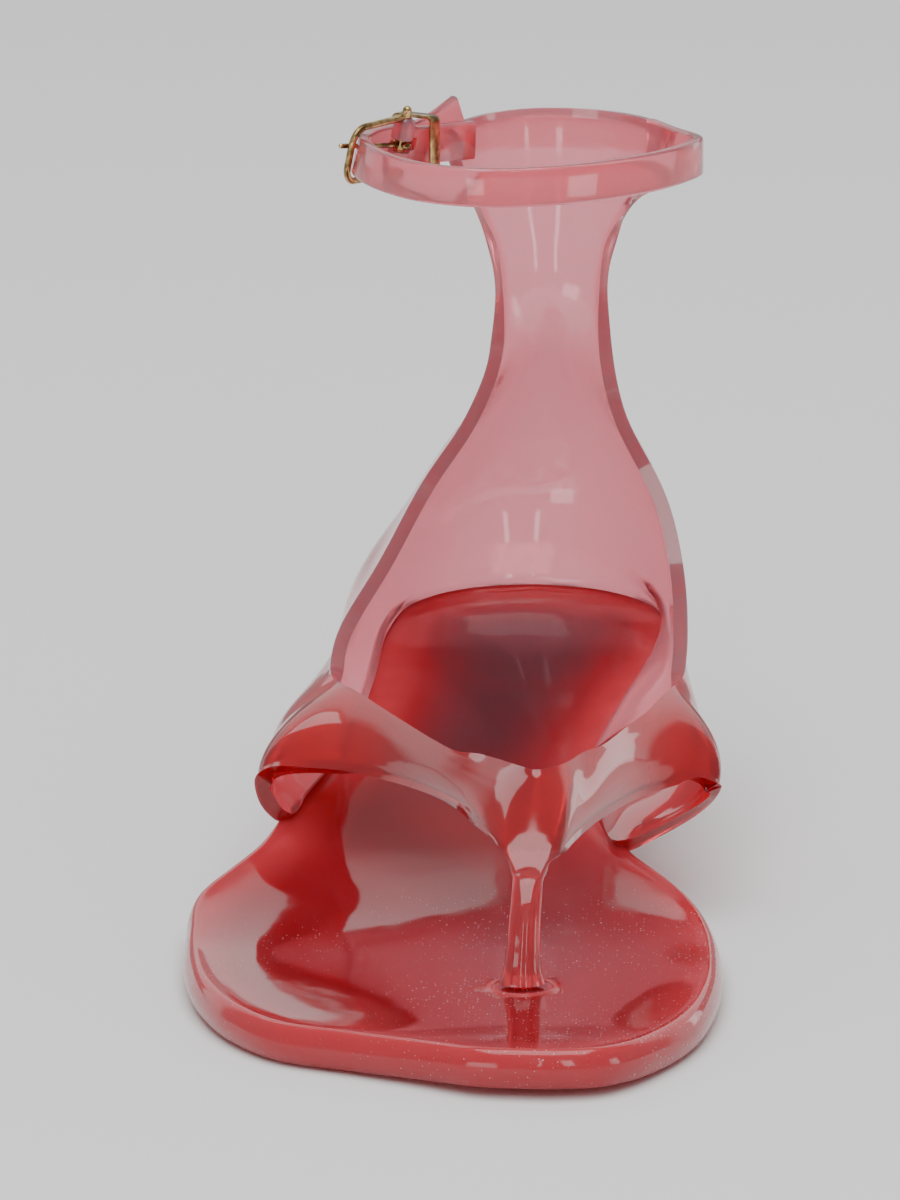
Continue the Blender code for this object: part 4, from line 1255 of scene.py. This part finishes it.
def add_room():
    """A dim room with a bright wall behind, by the direction's height and depth."""
    world = bpy.data.worlds.new("studio_room")
    world.use_nodes = True
    tree = world.node_tree
    background = tree.nodes["Background"]
    way = node(tree, "TexCoord")
    parts = node(tree, "SeparateXYZ", [("Vector", way, "Generated")])
    low = node(
        tree, "MapRange", [("Value", parts, "Z")],
        From_Min=WALL_TOP[0], From_Max=WALL_TOP[1], To_Min=1.0, To_Max=0.0,
    )
    behind = node(
        tree, "MapRange", [("Value", parts, "Y")],
        From_Min=WALL_SIDES[0], From_Max=WALL_SIDES[1],
    )
    both = node(tree, "Math", [(0, low, "Result"), (1, behind, "Result")], operation="MULTIPLY")
    share = node(
        tree, "MapRange", [("Value", both, "Value")],
        To_Min=ROOM_BRIGHTNESS, To_Max=WALL_BRIGHTNESS,
    )
    feed(tree, share, "Result", background, "Strength")
    background.inputs["Color"].default_value = (1.0, 1.0, 1.0, 1.0)
    bpy.context.scene.world = world


def add_lights():
    """The table's lamps, each a rectangle that faces its aim. No gloss mirrors the fill."""
    for name, place, aim, bright, wide, high in LAMPS:
        light = bpy.data.lights.new(name, "AREA")
        light.shape = "RECTANGLE"
        light.energy = bright * math.pi * wide * high
        light.size = wide
        light.size_y = high
        lamp = add_object(name, light)
        way = Vector(aim) - Vector(place)
        lamp.location = place
        lamp.rotation_euler = way.to_track_quat("-Z", "Y").to_euler()
        lamp.visible_glossy = name != "softbox_fill"


def add_camera():
    """The photo's viewpoint: tilted down, turned to the one shoe and zoomed in on it."""
    camera = bpy.data.cameras.new("camera")
    camera.sensor_width = SENSOR
    camera.sensor_fit = "AUTO"
    camera.lens = SENSOR * PHOTO_FOCAL / PHOTO_HEIGHT * PHOTO_ZOOM
    camera.clip_start = 0.05
    camera.clip_end = 30.0
    rig = add_object("camera", camera)
    straight = Matrix.Rotation(math.pi / 2 - math.radians(CAMERA_TILT), 3, "X")
    across = (PHOTO_AIM[0] - PHOTO_WIDTH / 2) / PHOTO_FOCAL
    up = (PHOTO_HEIGHT / 2 - PHOTO_AIM[1]) / PHOTO_FOCAL
    sight = Vector((across, up, -1.0)).normalized()
    turn = Vector((0, 0, -1)).rotation_difference(sight).to_matrix()
    rig.matrix_world = Matrix.Translation(CAMERA_PLACE) @ (straight @ turn).to_4x4()
    bpy.context.scene.camera = rig


add_camera()
add_sweep()
add_room()
add_lights()
wall_pvc = jelly_material(
    "thin_moulded_pvc", "red", THIN_STEPS, clear=0.78, density=170.0, gloss=0.50, dusty=False
)
# The sole's steps are painted shade, from its outline to its middle
sole_pvc = jelly_material(
    "thick_moulded_pvc", "core", THICK_SHADE_STEPS, clear=0.50, density=250.0, gloss=0.30, dusty=True
)
gold = gold_material()
lift = lift_material()
dress(sole_piece(), sole_pvc, "jelly_pvc", "sole", "heel")
dress(heel_tip_piece(), lift, "lift_rubber", "heel_tip")
dress(upper_piece(), wall_pvc, "jelly_pvc", "upper")
bar_half = FRAME_HEIGHT / 2 + BAR_OVERHANG
bar_line = [on_buckle(FRAME_LENGTH / 2, share * bar_half) for share in np.linspace(-1, 1, 9)]
for name, line, radius, cad_node in (
    ("frame_wire", frame_points(), FRAME_WIRE, "buckle_frame"),
    ("bar_rod", bar_line, BAR_RADIUS, "buckle_bar"),
    ("prong_pin", prong_points(), PRONG_RADIUS, "buckle_prong"),
):
    dress(tube_piece(name, line, radius), gold, "gold_metal", cad_node)
dress(keeper_piece(), gold, "gold_metal", "strap_keeper")
